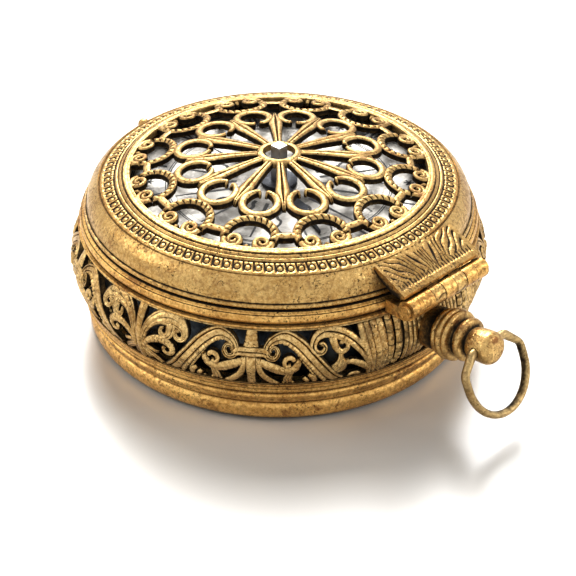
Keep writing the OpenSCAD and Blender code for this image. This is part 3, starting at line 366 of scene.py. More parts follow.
def arc(cx: float, cz: float, radius: float, start: float, end: float, steps: int) -> list[Pair]:
    """Points of an arc, its angles in degrees."""
    angles = [math.radians(start + (end - start) * i / steps) for i in range(steps + 1)]
    return [(cx + radius * math.cos(a), cz + radius * math.sin(a)) for a in angles]


def finished(bm: BMesh, name: str, body: str, material: bpy.types.Material,
             replaces: Sequence[str] = (), sharp: float = 42.0) -> bpy.types.Object:
    """Makes an object of a mesh in millimetres and hangs it on its body.

    Args:
        bm: the mesh, which is used up.
        name: the piece's name.
        body: the CAD body that carries it.
        material: its finish.
        replaces: CAD nodes that the piece stands for.
        sharp: angle in degrees past which an edge stays sharp.

    Returns:
        The object, at the origin.
    """
    bmesh.ops.recalc_face_normals(bm, faces=bm.faces)
    for face in bm.faces:
        face.smooth = True
    for edge in bm.edges:
        edge.smooth = len(edge.link_faces) == 2 and edge.calc_face_angle(0) < math.radians(sharp)
    bmesh.ops.scale(bm, vec=(MM, MM, MM), verts=bm.verts)
    mesh = bpy.data.meshes.new(name)
    bm.to_mesh(mesh)
    bm.free()
    obj = bpy.data.objects.new(name, mesh)
    bpy.context.scene.collection.objects.link(obj)
    mesh.materials.append(material)
    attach(obj, body)
    if replaces:
        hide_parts(*replaces)
    log.info("%s: %d faces on %s", name, len(mesh.polygons), body)
    return obj


def carve(obj: bpy.types.Object, cutters: Sequence[BMesh]) -> None:
    """Cuts shapes in millimetres out of a finished piece.

    Args:
        obj: the piece.
        cutters: closed meshes, which are used up.
    """
    for number, bm in enumerate(cutters):
        bmesh.ops.recalc_face_normals(bm, faces=bm.faces)
        bmesh.ops.scale(bm, vec=(MM, MM, MM), verts=bm.verts)
        mesh = bpy.data.meshes.new(f"cutter{number}")
        bm.to_mesh(mesh)
        bm.free()
        tool = bpy.data.objects.new(mesh.name, mesh)
        bpy.context.scene.collection.objects.link(tool)
        cut = obj.modifiers.new("cut", "BOOLEAN")
        cut.operation = "DIFFERENCE"
        cut.solver = "EXACT"
        cut.object = tool
        bpy.context.view_layer.update()
        shape = obj.evaluated_get(bpy.context.evaluated_depsgraph_get())
        result = bpy.data.meshes.new_from_object(shape)
        obj.modifiers.clear()
        result.name = obj.name
        old = obj.data
        obj.data = result
        bpy.data.meshes.remove(old)
        bpy.data.objects.remove(tool)


def box_cutter(low: Sequence[float], high: Sequence[float]) -> BMesh:
    """Box between two corners in millimetres."""
    bm = bmesh.new()
    bmesh.ops.create_cube(bm, size=1)
    bmesh.ops.scale(bm, vec=[b - a for a, b in zip(low, high)], verts=bm.verts)
    shift(bm, [(a + b) / 2 for a, b in zip(low, high)])
    return bm


def rod(radius: float, half: float, segments: int = 48) -> BMesh:
    """Closed rod along Z about the origin, in millimetres."""
    bm = bmesh.new()
    bmesh.ops.create_cone(bm, cap_ends=True, segments=segments, radius1=radius, radius2=radius,
                          depth=2 * half)
    return bm


def rod_along_x(radius: float, half: float, x: float, y: float, z: float) -> BMesh:
    """Closed rod along X about a point, in millimetres."""
    bm = rod(radius, half)
    rotate(bm, 90, "Y")
    shift(bm, (x, y, z))
    return bm


class Graph:
    """Node tree of one material, built from plain calls."""

    def __init__(self, name: str) -> None:
        """Starts an empty material of that name."""
        self.material = bpy.data.materials.new(name)
        self.material.use_nodes = True
        self.tree = self.material.node_tree
        self.tree.nodes.clear()
        self.shader = self.tree.nodes.new("ShaderNodeBsdfPrincipled")
        out = self.tree.nodes.new("ShaderNodeOutputMaterial")
        self.join(self.shader.outputs[0], out.inputs["Surface"])
        self.place = self.tree.nodes.new("ShaderNodeTexCoord").outputs["Object"]

    def join(self, source: Socket, target: Socket) -> None:
        """Links one socket to another."""
        self.tree.links.new(source, target)

    def feed(self, value: object, target: Socket) -> None:
        """Sets or links an input, as the value asks."""
        if isinstance(value, Socket):
            self.join(value, target)
        else:
            target.default_value = value

    def node(self, kind: str, values: dict[str, object]) -> bpy.types.Node:
        """Adds a node and sets or links its inputs."""
        node = self.tree.nodes.new("ShaderNode" + kind)
        for name, value in values.items():
            self.feed(value, node.inputs[name])
        return node

    def noise(self, size: float, detail: float = 3.0, rough: float = 0.55, warp: float = 0.0,
              stretch: Triple | None = None) -> Socket:
        """Noise whose patches are about this many millimetres wide."""
        place = self.place
        if stretch:
            place = self.node("Mapping", {"Scale": stretch, "Vector": place}).outputs[0]
        node = self.node("TexNoise", {"Scale": 1 / (size * MM), "Detail": detail, "Roughness": rough,
                                      "Distortion": warp, "Vector": place})
        return node.outputs["Fac"]

    def cells(self, size: float) -> Socket:
        """Distance to the nearest of random points, for pits."""
        return self.node("TexVoronoi", {"Scale": 1 / (size * MM), "Vector": self.place}).outputs["Distance"]

    def ramp(self, value: Socket, low: float, high: float, bottom: float = 0.0, top: float = 1.0) -> Socket:
        """Maps low to high onto bottom to top, with smooth ends."""
        node = self.node("MapRange", {"Value": value, "From Min": low, "From Max": high, "To Min": bottom,
                                      "To Max": top})
        node.interpolation_type = "SMOOTHSTEP"
        return node.outputs[0]

    def sum_of(self, kind: str, a: object, b: object) -> Socket:
        """One sum of two values."""
        node = self.node("Math", {})
        node.operation = kind
        self.feed(a, node.inputs[0])
        self.feed(b, node.inputs[1])
        return node.outputs[0]

    def plus(self, a: object, b: object) -> Socket:
        """Both values added."""
        return self.sum_of("ADD", a, b)

    def times(self, a: object, b: object) -> Socket:
        """Both values multiplied."""
        return self.sum_of("MULTIPLY", a, b)

    def most(self, a: object, b: object) -> Socket:
        """The larger of both values."""
        return self.sum_of("MAXIMUM", a, b)

    def mix(self, share: object, a: object, b: object) -> Socket:
        """Blend of two colours."""
        node = self.node("Mix", {})
        node.data_type = "RGBA"
        for number, value in ((0, share), (6, a), (7, b)):
            self.feed(value, node.inputs[number])
        return node.outputs[2]

    def attribute(self, name: str) -> Socket:
        """Number that the mesh holds at each point."""
        node = self.node("Attribute", {})
        node.attribute_name = name
        return node.outputs["Fac"]

    def painted_occlusion(self, reach: float) -> Socket:
        """Ambient occlusion within this many millimetres, low in corners, for painted shade."""
        node = self.node("AmbientOcclusion", {"Distance": reach * MM})
        node.samples = 6
        return node.outputs["AO"]

    def axis(self, name: str) -> Socket:
        """X, Y or Z of the place on the piece, in metres."""
        return self.node("SeparateXYZ", {"Vector": self.place}).outputs[name]

    def bump(self, heights: Sequence[tuple[Socket, float]]) -> None:
        """Adds bumps, each with its depth in millimetres."""
        below: dict[str, Socket] = {}
        for height, depth in heights:
            node = self.node("Bump", {"Strength": 1.0, "Distance": depth * MM, "Height": height, **below})
            below = {"Normal": node.outputs[0]}
        self.join(below["Normal"], self.shader.inputs["Normal"])


def colour(r: float, g: float, b: float) -> tuple[float, float, float, float]:
    """Colour with full alpha."""
    return (r, g, b, 1.0)


@dataclass(frozen=True)
class Gilding:
    """Old gilding over brass: bright on the crests, red where it is worn, black with dirt in the grooves and
    with painted shade in corners and hollows.

    Sizes of patches and specks, and the reach of the painted occlusion shade, are in millimetres, and hinge_y
    is in metres.
    """

    name: str
    bright: Triple = (0.76, 0.5, 0.18)
    deep: Triple = (0.38, 0.2, 0.052)
    worn: Triple = (0.2, 0.07, 0.024)
    tarnish: Triple = (0.24, 0.14, 0.06)
    # Colour of the dirt, also used for the painted shade in corners and hollows.
    dirt: Triple = (0.022, 0.016, 0.011)
    wear: float = 0.5
    tarnished: float = 0.4
    smooth: float = 0.24
    pits: float = 0.05
    patina: float = 0.75
    patch: float = 6.0
    cloud: float = 0.45
    fine: float = 0.9
    speck: float = 0.32
    rub: float = 3.2
    painted_occlusion: float = 1.3
    hinge_y: Pair = (0.0235, 0.03)

    def metal(self, g: Graph, mottle: Socket, fine: Socket, worn: Socket) -> Socket:
        """Colour of the clean metal.

        Args:
            g: the material's graph.
            mottle: patches of bright and deep gilding.
            fine: fine clouds of tarnish.
            worn: share of worn metal.

        Returns:
            The colour.
        """
        base = g.mix(g.ramp(mottle, 0.34, 0.66), colour(*self.bright), colour(*self.deep))
        base = g.mix(g.times(g.ramp(fine, 0.48, 0.7), self.tarnished), base, colour(*self.tarnish))
        return g.mix(worn, base, colour(*self.worn))

    def soil(self, g: Graph, fine: Socket, specks: Socket) -> Socket:
        """Share of dirt and painted shade: dirt in the grooves, in specks and as patina by the hinge, and
        painted shade from ambient occlusion in corners and hollows.

        Args:
            g: the material's graph.
            fine: fine clouds that break its edges.
            specks: fine specks.

        Returns:
            The share.
        """
        grooves = g.ramp(g.plus(g.attribute(DIRT_AND_SHADE), g.times(fine, 0.5)), 0.55, 1.1)
        clusters = g.ramp(g.noise(4.5, 4, 0.65, 0.8), 0.44, 0.6, 0.25, 1.0)
        spots = g.times(g.ramp(specks, 0.54, 0.6), g.times(clusters, 0.9))
        by_hinge = g.ramp(g.axis("Y"), *self.hinge_y, 0.0, self.patina)
        patina = g.times(g.ramp(g.noise(1.7, 4, 0.7, 0.8), 0.5, 0.6), by_hinge)
        # Painted shade: ambient occlusion darkens corners and hollows, its edge broken by fine noise.
        open_air_shade = g.plus(g.painted_occlusion(self.painted_occlusion), g.times(g.plus(fine, -0.5), 0.35))
        return g.most(g.most(grooves, g.most(spots, patina)), g.ramp(open_air_shade, 0.3, 0.78, 0.9, 0.0))

    def made(self) -> bpy.types.Material:
        """Builds the material."""
        g = Graph(self.name)
        g.shader.inputs["Metallic"].default_value = 1.0
        fine = g.noise(self.fine, 4, 0.65, 0.3)
        specks = g.noise(self.speck, 4, 0.75)
        clouds = g.noise(self.cloud, 3, 0.7, 0.5)
        mottle = g.plus(g.times(g.noise(self.patch, 4, 0.6, 0.6), 0.45), g.times(clouds, 0.55))
        worn = g.times(g.ramp(g.noise(self.rub, 5, 0.7, 1.2), 0.56, 0.66), self.wear)
        soiled_and_shaded = self.soil(g, fine, specks)
        metal = self.metal(g, mottle, fine, worn)
        # Base colour: the metal mixed towards the dirt colour by dirt and by painted shade.
        g.feed(g.mix(soiled_and_shaded, metal, colour(*self.dirt)), g.shader.inputs["Base Color"])
        rough = g.plus(g.ramp(fine, 0.3, 0.75, self.smooth, self.smooth + 0.22), g.times(soiled_and_shaded, 0.35))
        g.feed(g.plus(rough, g.times(worn, 0.15)), g.shader.inputs["Roughness"])
        g.bump([(g.noise(1.6, 3, 0.5), 0.05), (g.ramp(g.cells(0.7), 0.05, 0.3), self.pits / 2),
                (mottle, 0.035), (specks, 0.018)])
        return g.material


@dataclass(frozen=True)
class PlainMetal:
    """Metal with a fine worked surface: steel, silver, bronze or wheel brass."""

    name: str
    light: Triple
    dark: Triple
    smooth: float = 0.3
    grain: float = 0.3
    metal: float = 1.0
    patch: float = 4.0

    def made(self) -> bpy.types.Material:
        """Builds the material."""
        g = Graph(self.name)
        g.shader.inputs["Metallic"].default_value = self.metal
        patches = g.noise(self.patch, 4, 0.6, 0.4)
        fine = g.noise(self.grain, 3, 0.6)
        base = g.mix(g.ramp(patches, 0.36, 0.66), colour(*self.light), colour(*self.dark))
        soiled_and_shaded = g.ramp(g.plus(g.attribute(DIRT_AND_SHADE), g.times(fine, 0.4)), 0.55, 1.1)
        soiled_and_shaded = g.most(soiled_and_shaded, g.times(g.ramp(fine, 0.66, 0.78), 0.5))
        dirt_and_shade = colour(*[c * 0.12 for c in self.dark])
        g.feed(g.mix(soiled_and_shaded, base, dirt_and_shade), g.shader.inputs["Base Color"])
        g.feed(g.ramp(fine, 0.3, 0.75, self.smooth, self.smooth + 0.2), g.shader.inputs["Roughness"])
        g.bump([(fine, 0.02), (patches, 0.04)])
        return g.material


@dataclass(frozen=True)
class Gut:
    """Twisted gut of the fusee line."""

    name: str = "twisted_gut"

    def made(self) -> bpy.types.Material:
        """Builds the material."""
        g = Graph(self.name)
        twist = g.noise(0.35, 2, 0.5, 0.0, (1.0, 0.35, 1.0))
        g.feed(g.mix(g.ramp(twist, 0.35, 0.65), colour(0.5, 0.33, 0.16), colour(0.3, 0.18, 0.08)),
               g.shader.inputs["Base Color"])
        g.feed(g.ramp(twist, 0.3, 0.7, 0.45, 0.65), g.shader.inputs["Roughness"])
        g.bump([(twist, 0.03)])
        return g.material


class Finishes:
    """The finish of each material slot of the record."""

    def __init__(self) -> None:
        """Builds every finish once."""
        gildings = (
            Gilding("gilt_cover", bright=(0.72, 0.47, 0.17), wear=0.35, tarnished=0.5),
            Gilding("gilt_openwork", bright=(0.58, 0.385, 0.145), deep=(0.3, 0.165, 0.05), tarnished=0.75,
                    smooth=0.32, patina=0.0),
            Gilding("gilt_case", bright=(0.88, 0.61, 0.25), wear=0.35, tarnished=0.5),
            Gilding("gilt_moulding", bright=(0.95, 0.58, 0.18), deep=(0.46, 0.22, 0.05), wear=0.7,
                    smooth=0.28, patina=0.5),
            Gilding("gilt_pendant", bright=(0.74, 0.48, 0.17), deep=(0.3, 0.14, 0.04), wear=0.8, pits=0.14,
                    patina=0.3),
            Gilding("bronze_bow", bright=(0.58, 0.4, 0.17), deep=(0.26, 0.16, 0.06),
                    tarnish=(0.17, 0.12, 0.07), wear=0.3, smooth=0.28, patina=0.3),
        )
        metals = (
            PlainMetal("bell_metal", (0.1, 0.12, 0.14), (0.03, 0.038, 0.046), 0.32, 0.8),
            # Silver of the dial, darkened as painted shade for the shaded inside of the case.
            PlainMetal("silver_dial", (0.5, 0.475, 0.43), (0.16, 0.148, 0.13), 0.36, 0.4, metal=0.85),
            PlainMetal("movement_brass", (0.76, 0.52, 0.22), (0.54, 0.35, 0.14)),
            PlainMetal("wheel_brass", (0.82, 0.6, 0.28), (0.58, 0.38, 0.15), 0.25, 0.25),
            PlainMetal("steel", (0.55, 0.55, 0.55), (0.28, 0.28, 0.29)),
            PlainMetal("blued_steel", (0.05, 0.053, 0.06), (0.02, 0.021, 0.025)),
        )
        self.slots = {finish.name: finish.made() for finish in gildings + metals}
        self.slots["gut"] = Gut().made()
        wax = PlainMetal("black_wax", (0.02, 0.019, 0.018), (0.01, 0.01, 0.01), 0.45, metal=0.0)
        self.ink = wax.made()

    def of(self, slot: str) -> bpy.types.Material:
        """Finish of one slot."""
        return self.slots[slot]

    def dress_nodes(self) -> None:
        """Gives each CAD node the finish of its slot in the record."""
        for row in frame["record"]["subparts"]:
            node = frame["nodes"][row["node"]]
            node.data.materials.clear()
            node.data.materials.append(self.of(row["material_slot"]))


@dataclass
class Case:
    """Band and mouldings of the case.

    hinge is the pin's y and z, and hinge_gap the radius and half length cut free for it. arm_slot
    is y and z of two corners. Each clasp and palmette is given by its angle round the case, and
    each block by its top and foot, counted from the lip.
    """

    finishes: Finishes
    widest_r: float = 30.0
    widest_z: float = 11.149
    bulge: float = 0.07532
    foot_z: float = 7.15
    top_z: float = 15.9
    lip_z: float = 18.5
    wall: float = 0.9
    flat_r: float = 29.5
    lip_r: float = 27.4
    seat_r: float = 26.4
    shelf_r: float = 25.0
    bar_width: float = 1.2
    pendant_z: float = 11.3
    pendant_tilt: float = 8.0
    hole_r: float = 3.03
    rim_z: float = 18.2
    hinge: Pair = (31.0, 18.0)
    hinge_gap: Pair = (1.7, 5.4)
    arm_x: float = 4.32
    arm_half: float = 1.2
    arm_slot: tuple[Pair, ...] = ((25.4, 17.15), (34.0, 19.15))
    bolt_slot: tuple[Triple, ...] = ((-1.3, -27.5, 17.1), (1.3, -26.1, 18.3))
    clasps: tuple[float, ...] = (-90.0, -26.0, 38.0, 142.0, 206.0)
    palmettes: tuple[float, ...] = (-90.0, -26.0, 142.0, 206.0)
    beside_pendant: tuple[tuple[float, int], ...] = ((38.0, 1), (142.0, -1))
    shared_bars: int = 9
    blocks: tuple[Pair, ...] = (
        (-2.7, -3.45), (-3.6, -5.05), (-5.2, -6.95), (-7.1, -8.6), (-8.75, -10.1))
    rib_step: float = 1.55
    rib_width: float = 0.62
    panel_half: float = 11.2

    def band_radius(self, z: float) -> float:
        """Outer radius of the band at a height."""
        return self.widest_r - self.bulge * (z - self.widest_z) ** 2

    def on_band(self, x: float, y: float, height: float) -> Vector:
        """Place on the band of a point of the flat pattern, with the clasp at angle 0."""
        z = min(max(y, self.foot_z - 0.1), self.top_z + 0.1)
        radius = self.band_radius(z) - self.wall + height
        angle = x / self.flat_r
        return Vector((radius * math.cos(angle), radius * math.sin(angle), z))

    def bar(self, points: Sequence[Triple], crest: float = 0.85,
            section: Section = Section.ROUND) -> Stroke:
        """Bar from points as degrees from the clasp, millimetres below the lip and width."""
        return Stroke(tuple((math.radians(u) * self.flat_r, self.lip_z + z, w * self.bar_width)
                            for u, z, w in points), crest, section)

    def half_bay(self) -> list[Stroke]:
        """Bars between a clasp and the palmette stem."""
        return [
            self.bar([(22.4, -11.5, 2.3), (20.3, -10.2, 2.05), (18.2, -8.6, 1.9), (15.9, -6.9, 1.8),
                      (13.5, -5.3, 1.75), (11.2, -4.25, 1.65), (8.9, -3.65, 1.45), (6.8, -3.75, 1.15),
                      (5.0, -4.25, 0.9), (4.0, -5.1, 0.75), (4.4, -6.1, 0.67), (5.9, -6.35, 0.6),
                      (6.9, -5.6, 0.52), (6.3, -4.9, 0.46), (5.2, -4.95, 0.42), (5.0, -5.4, 0.42),
                      (5.5, -5.55, 0.44)], 0.9, Section.STRAP),
            self.bar([(1.9, -6.35, 0.6), (1.9, -7.5, 0.67), (2.4, -8.7, 0.75), (3.4, -9.6, 0.83),
                      (5.1, -10.6, 0.91), (7.4, -11.5, 0.7)], 0.8),
            self.bar([(2.0, -6.9, 0.9), (4.0, -7.45, 1.15), (5.9, -7.95, 1.3), (7.8, -8.4, 1.3),
                      (9.6, -8.5, 1.2), (11.2, -8.0, 1.0), (12.0, -7.2, 0.75), (12.3, -6.6, 0.4)], 0.85,
                     Section.NOTCHED),
            self.bar([(11.2, -6.9, 0.5), (10.4, -6.3, 0.62), (9.2, -6.35, 0.62), (8.5, -6.95, 0.55),
                      (8.9, -7.55, 0.48), (9.7, -7.5, 0.42), (9.8, -7.1, 0.38)], 0.95),
            self.bar([(10.0, -8.6, 0.6), (9.7, -9.4, 0.9), (9.4, -10.3, 1.1), (9.5, -11.2, 0.95)], 0.8,
                     Section.LEAF),
            self.bar([(9.0, -10.8, 0.6), (8.1, -11.4, 0.7)], 0.7),
            self.bar([(10.0, -10.8, 0.6), (11.0, -11.4, 0.7)], 0.7),
            self.bar([(16.6, -11.5, 0.7), (16.4, -10.5, 0.74), (15.8, -9.9, 0.7), (14.8, -9.6, 0.5)],
                     0.75),
            self.bar([(14.8, -11.5, 0.7), (14.4, -10.7, 0.67), (13.6, -10.2, 0.5)], 0.7),
            self.bar([(13.1, -11.5, 0.55), (13.0, -10.9, 0.44)], 0.7),
            self.bar([(31.0, -9.3, 0.67), (30.7, -7.7, 0.75), (30.2, -6.4, 0.95), (29.2, -5.2, 1.2),
                      (27.5, -4.2, 1.45), (25.4, -3.6, 1.7), (22.9, -3.35, 1.85), (20.4, -3.5, 1.6),
                      (18.5, -4.1, 1.25), (17.8, -4.95, 0.95), (18.6, -5.6, 0.75), (20.0, -5.6, 0.62),
                      (20.8, -5.05, 0.52), (20.1, -4.6, 0.46), (19.4, -4.8, 0.42)], 0.9,
                     Section.LEAF),
            self.bar([(18.4, -4.85, 0.79), (18.0, -5.4, 0.52), (17.8, -5.95, 0.22)], 0.7),
            self.bar([(22.5, -3.8, 1.3), (22.3, -4.7, 1.3), (22.7, -5.5, 1.1), (23.8, -5.95, 0.85),
                      (25.0, -5.6, 0.65), (25.2, -5.05, 0.5), (24.5, -4.9, 0.42)], 0.82, Section.LEAF),
            self.bar([(30.8, -8.9, 0.65), (29.7, -7.8, 0.8), (27.8, -7.05, 0.9), (25.6, -6.6, 1.0),
                      (23.2, -6.65, 1.05), (21.7, -7.1, 0.98), (21.3, -7.8, 0.8), (22.2, -8.45, 0.65),
                      (23.5, -8.4, 0.52), (24.1, -7.8, 0.46), (23.4, -7.45, 0.44)], 0.82, Section.NOTCHED),
            self.bar([(31.6, -9.2, 0.79), (30.7, -10.05, 0.91), (29.8, -11.5, 1.1)], 0.75, Section.LEAF),
            self.bar([(31.4, -9.0, 0.67), (29.1, -9.65, 0.87), (26.8, -10.6, 0.99), (25.3, -11.5, 0.87)],
                     0.8, Section.LEAF),
            self.bar([(30.5, -8.55, 0.52), (28.2, -8.85, 0.6), (26.1, -9.1, 0.44)], 0.7),
            self.bar([(6.9, -4.25, 0.3), (8.9, -4.55, 0.36), (10.4, -4.95, 0.4), (11.75, -5.7, 0.42),
                      (12.9, -6.7, 0.42), (14.8, -8.2, 0.42), (16.9, -10.1, 0.4)], 0.68, Section.BEADED),
        ]

    def hinge_half_bay(self) -> list[Stroke]:
        """Bars of the two half bays beside the pendant: some of the plain bay, and four columns."""
        plain = self.half_bay()
        return plain[:self.shared_bars] + plain[-1:] + [
            self.bar([(32.0, -10.1, 0.67), (31.1, -8.7, 0.87), (29.7, -7.0, 1.07), (27.4, -5.3, 1.3),
                      (24.7, -4.1, 1.42), (21.7, -3.45, 1.38), (19.0, -3.35, 1.2), (16.8, -3.9, 0.97),
                      (15.9, -4.9, 0.87), (16.7, -5.75, 0.75), (18.2, -5.85, 0.63), (19.1, -5.2, 0.56),
                      (18.3, -4.65, 0.48), (17.5, -4.95, 0.48)], 0.88, Section.GROOVED),
            self.bar([(21.2, -3.9, 0.97), (21.5, -4.9, 0.9), (22.2, -5.7, 0.78), (23.5, -6.15, 0.67),
                      (24.9, -5.7, 0.6), (24.9, -5.0, 0.56), (23.7, -4.75, 0.48), (23.1, -5.2, 0.48)], 0.8),
            self.bar([(23.1, -6.05, 0.56), (23.1, -7.0, 0.67), (23.1, -7.9, 1.5), (22.5, -8.75, 2.0),
                      (21.0, -9.5, 1.15)], 0.8, Section.LEAF),
            self.bar([(31.3, -10.1, 0.71), (29.9, -9.3, 0.93), (28.1, -8.5, 0.9), (26.3, -8.0, 0.75),
                      (25.0, -7.9, 0.67), (24.7, -7.5, 0.48)], 0.8, Section.NOTCHED),
            self.bar([(29.4, -11.5, 0.71), (27.8, -10.6, 0.75), (26.2, -10.7, 0.6), (26.4, -11.15, 0.44)],
                     0.7),
            self.bar([(29.1, -2.9, 0.75), (29.5, -4.9, 0.87), (30.5, -7.4, 0.83), (31.4, -10.2, 0.63),
                      (31.8, -11.5, 0.6)], 0.86, Section.NOTCHED),
            self.bar([(30.8, -2.9, 0.67), (31.3, -4.9, 0.75), (32.1, -7.4, 0.71), (32.8, -10.2, 0.6),
                      (33.1, -11.5, 0.6)], 0.82, Section.NOTCHED),
            self.bar([(32.7, -2.9, 0.85), (33.2, -4.9, 0.95), (33.8, -7.4, 0.95), (34.3, -10.2, 0.85),
                      (34.5, -11.5, 0.8)], 0.85, Section.NOTCHED),
            self.bar([(34.7, -2.9, 0.85), (35.0, -4.9, 0.95), (35.4, -7.4, 0.95), (35.7, -10.2, 0.9),
                      (35.9, -11.5, 0.85)], 0.82, Section.NOTCHED),
        ]

    def clasp(self) -> list[Stroke]:
        """Stem, cross bar and bundle on the middle line of a bay."""
        return [
            self.bar([(0, -2.6, 1.2), (0, -3.8, 1.45), (0, -5.0, 1.85)], 0.9, Section.NOTCHED),
            self.bar([(-4.6, -6.05, 0.8), (-3.4, -5.62, 1.0), (-2.0, -5.58, 1.08), (0, -5.58, 1.12),
                      (2.0, -5.58, 1.08), (3.4, -5.62, 1.0), (4.6, -6.05, 0.8)], 0.95, Section.GROOVED),
            self.bar([(0, -6.2, 1.1), (0, -8.0, 1.15), (0, -9.6, 0.95), (0, -10.6, 1.0), (0, -11.5, 1.1)],
                     0.85),
        ]

    def palmette(self) -> list[Stroke]:
        """Stem between two bays, with three rings round it."""
        stem = self.bar([(32, -2.6, 1.3), (32, -3.4, 1.2), (32, -4.6, 1.05), (32, -6.5, 0.85),
                         (32, -8.2, 0.7), (32, -9.3, 0.75), (32, -11.5, 1.1)], 0.9)
        return [stem] + [self.bar([(32 - reach, z, 0.35), (32, z - 0.15, 0.4), (32 + reach, z, 0.35)], 0.98)
                         for z, reach in ((-3.3, 0.9), (-3.9, 0.9), (-4.5, 0.8))]

    def pendant_panel(self) -> list[Stroke]:
        """Ribs and blocks between the pendant's two columns, with the pendant at 0 degrees."""
        bars: list[Stroke] = []
        for side in (-1, 1):
            for u, width, crest in ((14.6, 1.15, 0.85), (12.0, 1.0, 0.8)):
                for top, foot in self.blocks:
                    middle, tall = (top + foot) / 2, top - foot
                    bars.append(self.bar([(side * (u - 1.0), middle, tall), (side * (u + 1.0), middle, tall)],
                                         crest, Section.FLAT))
                bars.append(self.bar([(side * (u + 0.3), -10.1, width),
                                      (side * (u + 0.6), -11.5, width * 0.8)], 0.7, Section.LEAF))
            for k in range(5):
                u = side * (9.6 - self.rib_step * k)
                bars.append(self.bar([(u, -2.7, self.rib_width), (u, -11.5, self.rib_width)], 0.62))
        return bars

    def build_band(self) -> bpy.types.Object:
        """Cast and chased band with its piercings.

        Returns:
            The band.
        """
        bm = blank()
        half, hinge_half, clasp, palmette, panel = (laid(bars, self.on_band) for bars in (
            self.half_bay(), self.hinge_half_bay(), self.clasp(), self.palmette(), self.pendant_panel()))
        for angle in self.clasps:
            add_turned(bm, clasp, angle)
            for side in (-1, 1):
                add_turned(bm, hinge_half if (angle, side) in self.beside_pendant else half, angle, side)
        for angle in self.palmettes:
            add_turned(bm, palmette, angle)
        add_turned(bm, panel, 90)
        for low, high in ((self.foot_z, self.foot_z + 0.3), (self.top_z - 0.28, self.top_z)):
            foot_r, top_r = self.band_radius(low), self.band_radius(high)
            corners = [(foot_r - self.wall, low), (foot_r - 0.08, low), (top_r - 0.08, high),
                       (top_r - self.wall, high)]
            pour(turned(corners, 192, lambda r, z: 0.5), bm)
        return finished(bm, "chased_band", "case", self.finishes.of("gilt_case"), ["case_band"])

    def build_panel_back(self) -> bpy.types.Object:
        """Plate behind the ribs by the pendant, dark all over as painted shade.

        Returns:
            The plate.
        """
        bm = blank()
        made = bmesh.ops.create_grid(bm, x_segments=40, y_segments=8, size=1)
        middle, half = (self.top_z + self.foot_z) / 2, (self.top_z - self.foot_z) / 2
        for vert in made["verts"]:
            x = math.radians(self.panel_half * vert.co.x) * self.flat_r
            vert.co = self.on_band(x, middle + vert.co.y * half, 0.3)
        rotate(bm, 90, "Z")
        bmesh.ops.recalc_face_normals(bm, faces=bm.faces)
        bmesh.ops.solidify(bm, geom=bm.faces, thickness=0.3)
        layer = bm.verts.layers.float[DIRT_AND_SHADE]
        # Painted shade: every point of the plate gets the dark value.
        for vert in bm.verts:
            vert[layer] = 0.9
        obj = finished(bm, "panel_back", "case", self.finishes.of("gilt_case"))
        hole = rod(self.hole_r, 4, 64)
        rotate(hole, self.pendant_tilt - 90, "X")
        shift(hole, (0, self.widest_r, self.pendant_z))
        carve(obj, [hole])
        return obj

    def build_rim(self) -> bpy.types.Object:
        """Moulding under the lip, with the ledge for the movement.

        Returns:
            The moulding, slotted for the movement's hinge arms.
        """
        start_z, top_r = self.top_z, self.band_radius(self.top_z)
        lines = (start_z + 0.66, start_z + 1.86)
        points = [(self.shelf_r, start_z)] + beside(top_r, start_z, (
            (0.05, 0), (0.3, 0.12), (0.35, 0.25), (0.16, 0.36), (0.16, 0.44)))
        for r, z in arc(self.lip_r + 0.1, start_z + 1.25, 0.85, -58, 75, 39):
            points.append((r - 0.1 * sum(bell_curve(z - line, 0.045) for line in lines), z))
        points += beside(self.lip_r, self.rim_z, ((0.15, -0.08), (0, 0)))
        points += beside(self.seat_r, self.rim_z, ((0, 0), (0, -1.2), (self.shelf_r - self.seat_r, -1.2)))

        def dirt(r: float, z: float) -> float:
            """Dirt in the fine lines, at the foot and under the lip."""
            fine = max(bell_curve(z - line, 0.06) for line in (*lines, start_z + 0.4))
            under_lip = 1.0 if r < self.lip_r + 0.2 and z > start_z + 1.5 else 0.0
            return max(fine, under_lip, 0.6 if z < start_z + 0.1 else 0.0)

        obj = finished(turned(points, 256, dirt), "rim_moulding_turned", "case",
                       self.finishes.of("gilt_moulding"), ["rim_moulding"])
        low, high = self.arm_slot
        cuts = [box_cutter((x - self.arm_half, *low), (x + self.arm_half, *high))
                for x in (-self.arm_x, self.arm_x)]
        cuts.append(rod_along_x(*self.hinge_gap, 0, *self.hinge))
        cuts.append(box_cutter(*self.bolt_slot))
        carve(obj, cuts)
        return obj

    def build_base(self) -> bpy.types.Object:
        """Moulded base under the band.

        Returns:
            The moulding.
        """
        foot_r, z = self.band_radius(self.foot_z), self.foot_z
        rim_r = foot_r - 0.95
        outside = [(foot_r - 2.5, 0.0), (rim_r - 1.3, 0.0)] + arc(rim_r - 1.8, 1.8, 1.8, -75, 0, 14)
        outside += arc(rim_r - 1, 2.3, 1.0, 8, 58, 8)
        outside += beside(rim_r, z, (
            (-0.58, -3.92), (-0.42, -3.82), (-0.18, -3.72), (-0.02, -3.5), (-0.02, -3.1), (0.02, -2.86)))
        outside += arc(foot_r - 0.93, z - 2.45, 0.4, -66, 74, 8)
        outside += beside(foot_r, z, (
            (-0.92, -1.98), (-0.9, -1.86), (-0.56, -1.68), (-0.44, -1.3), (-0.5, -1.14), (-0.5, -1.04),
            (-0.34, -0.94), (-0.28, -0.6), (-0.38, -0.5), (-0.36, -0.4), (-0.06, -0.24), (0, -0.1), (0, 0),
            (-1.9, 0), (-1.9, -3.15), (-2.5, -4.15)))

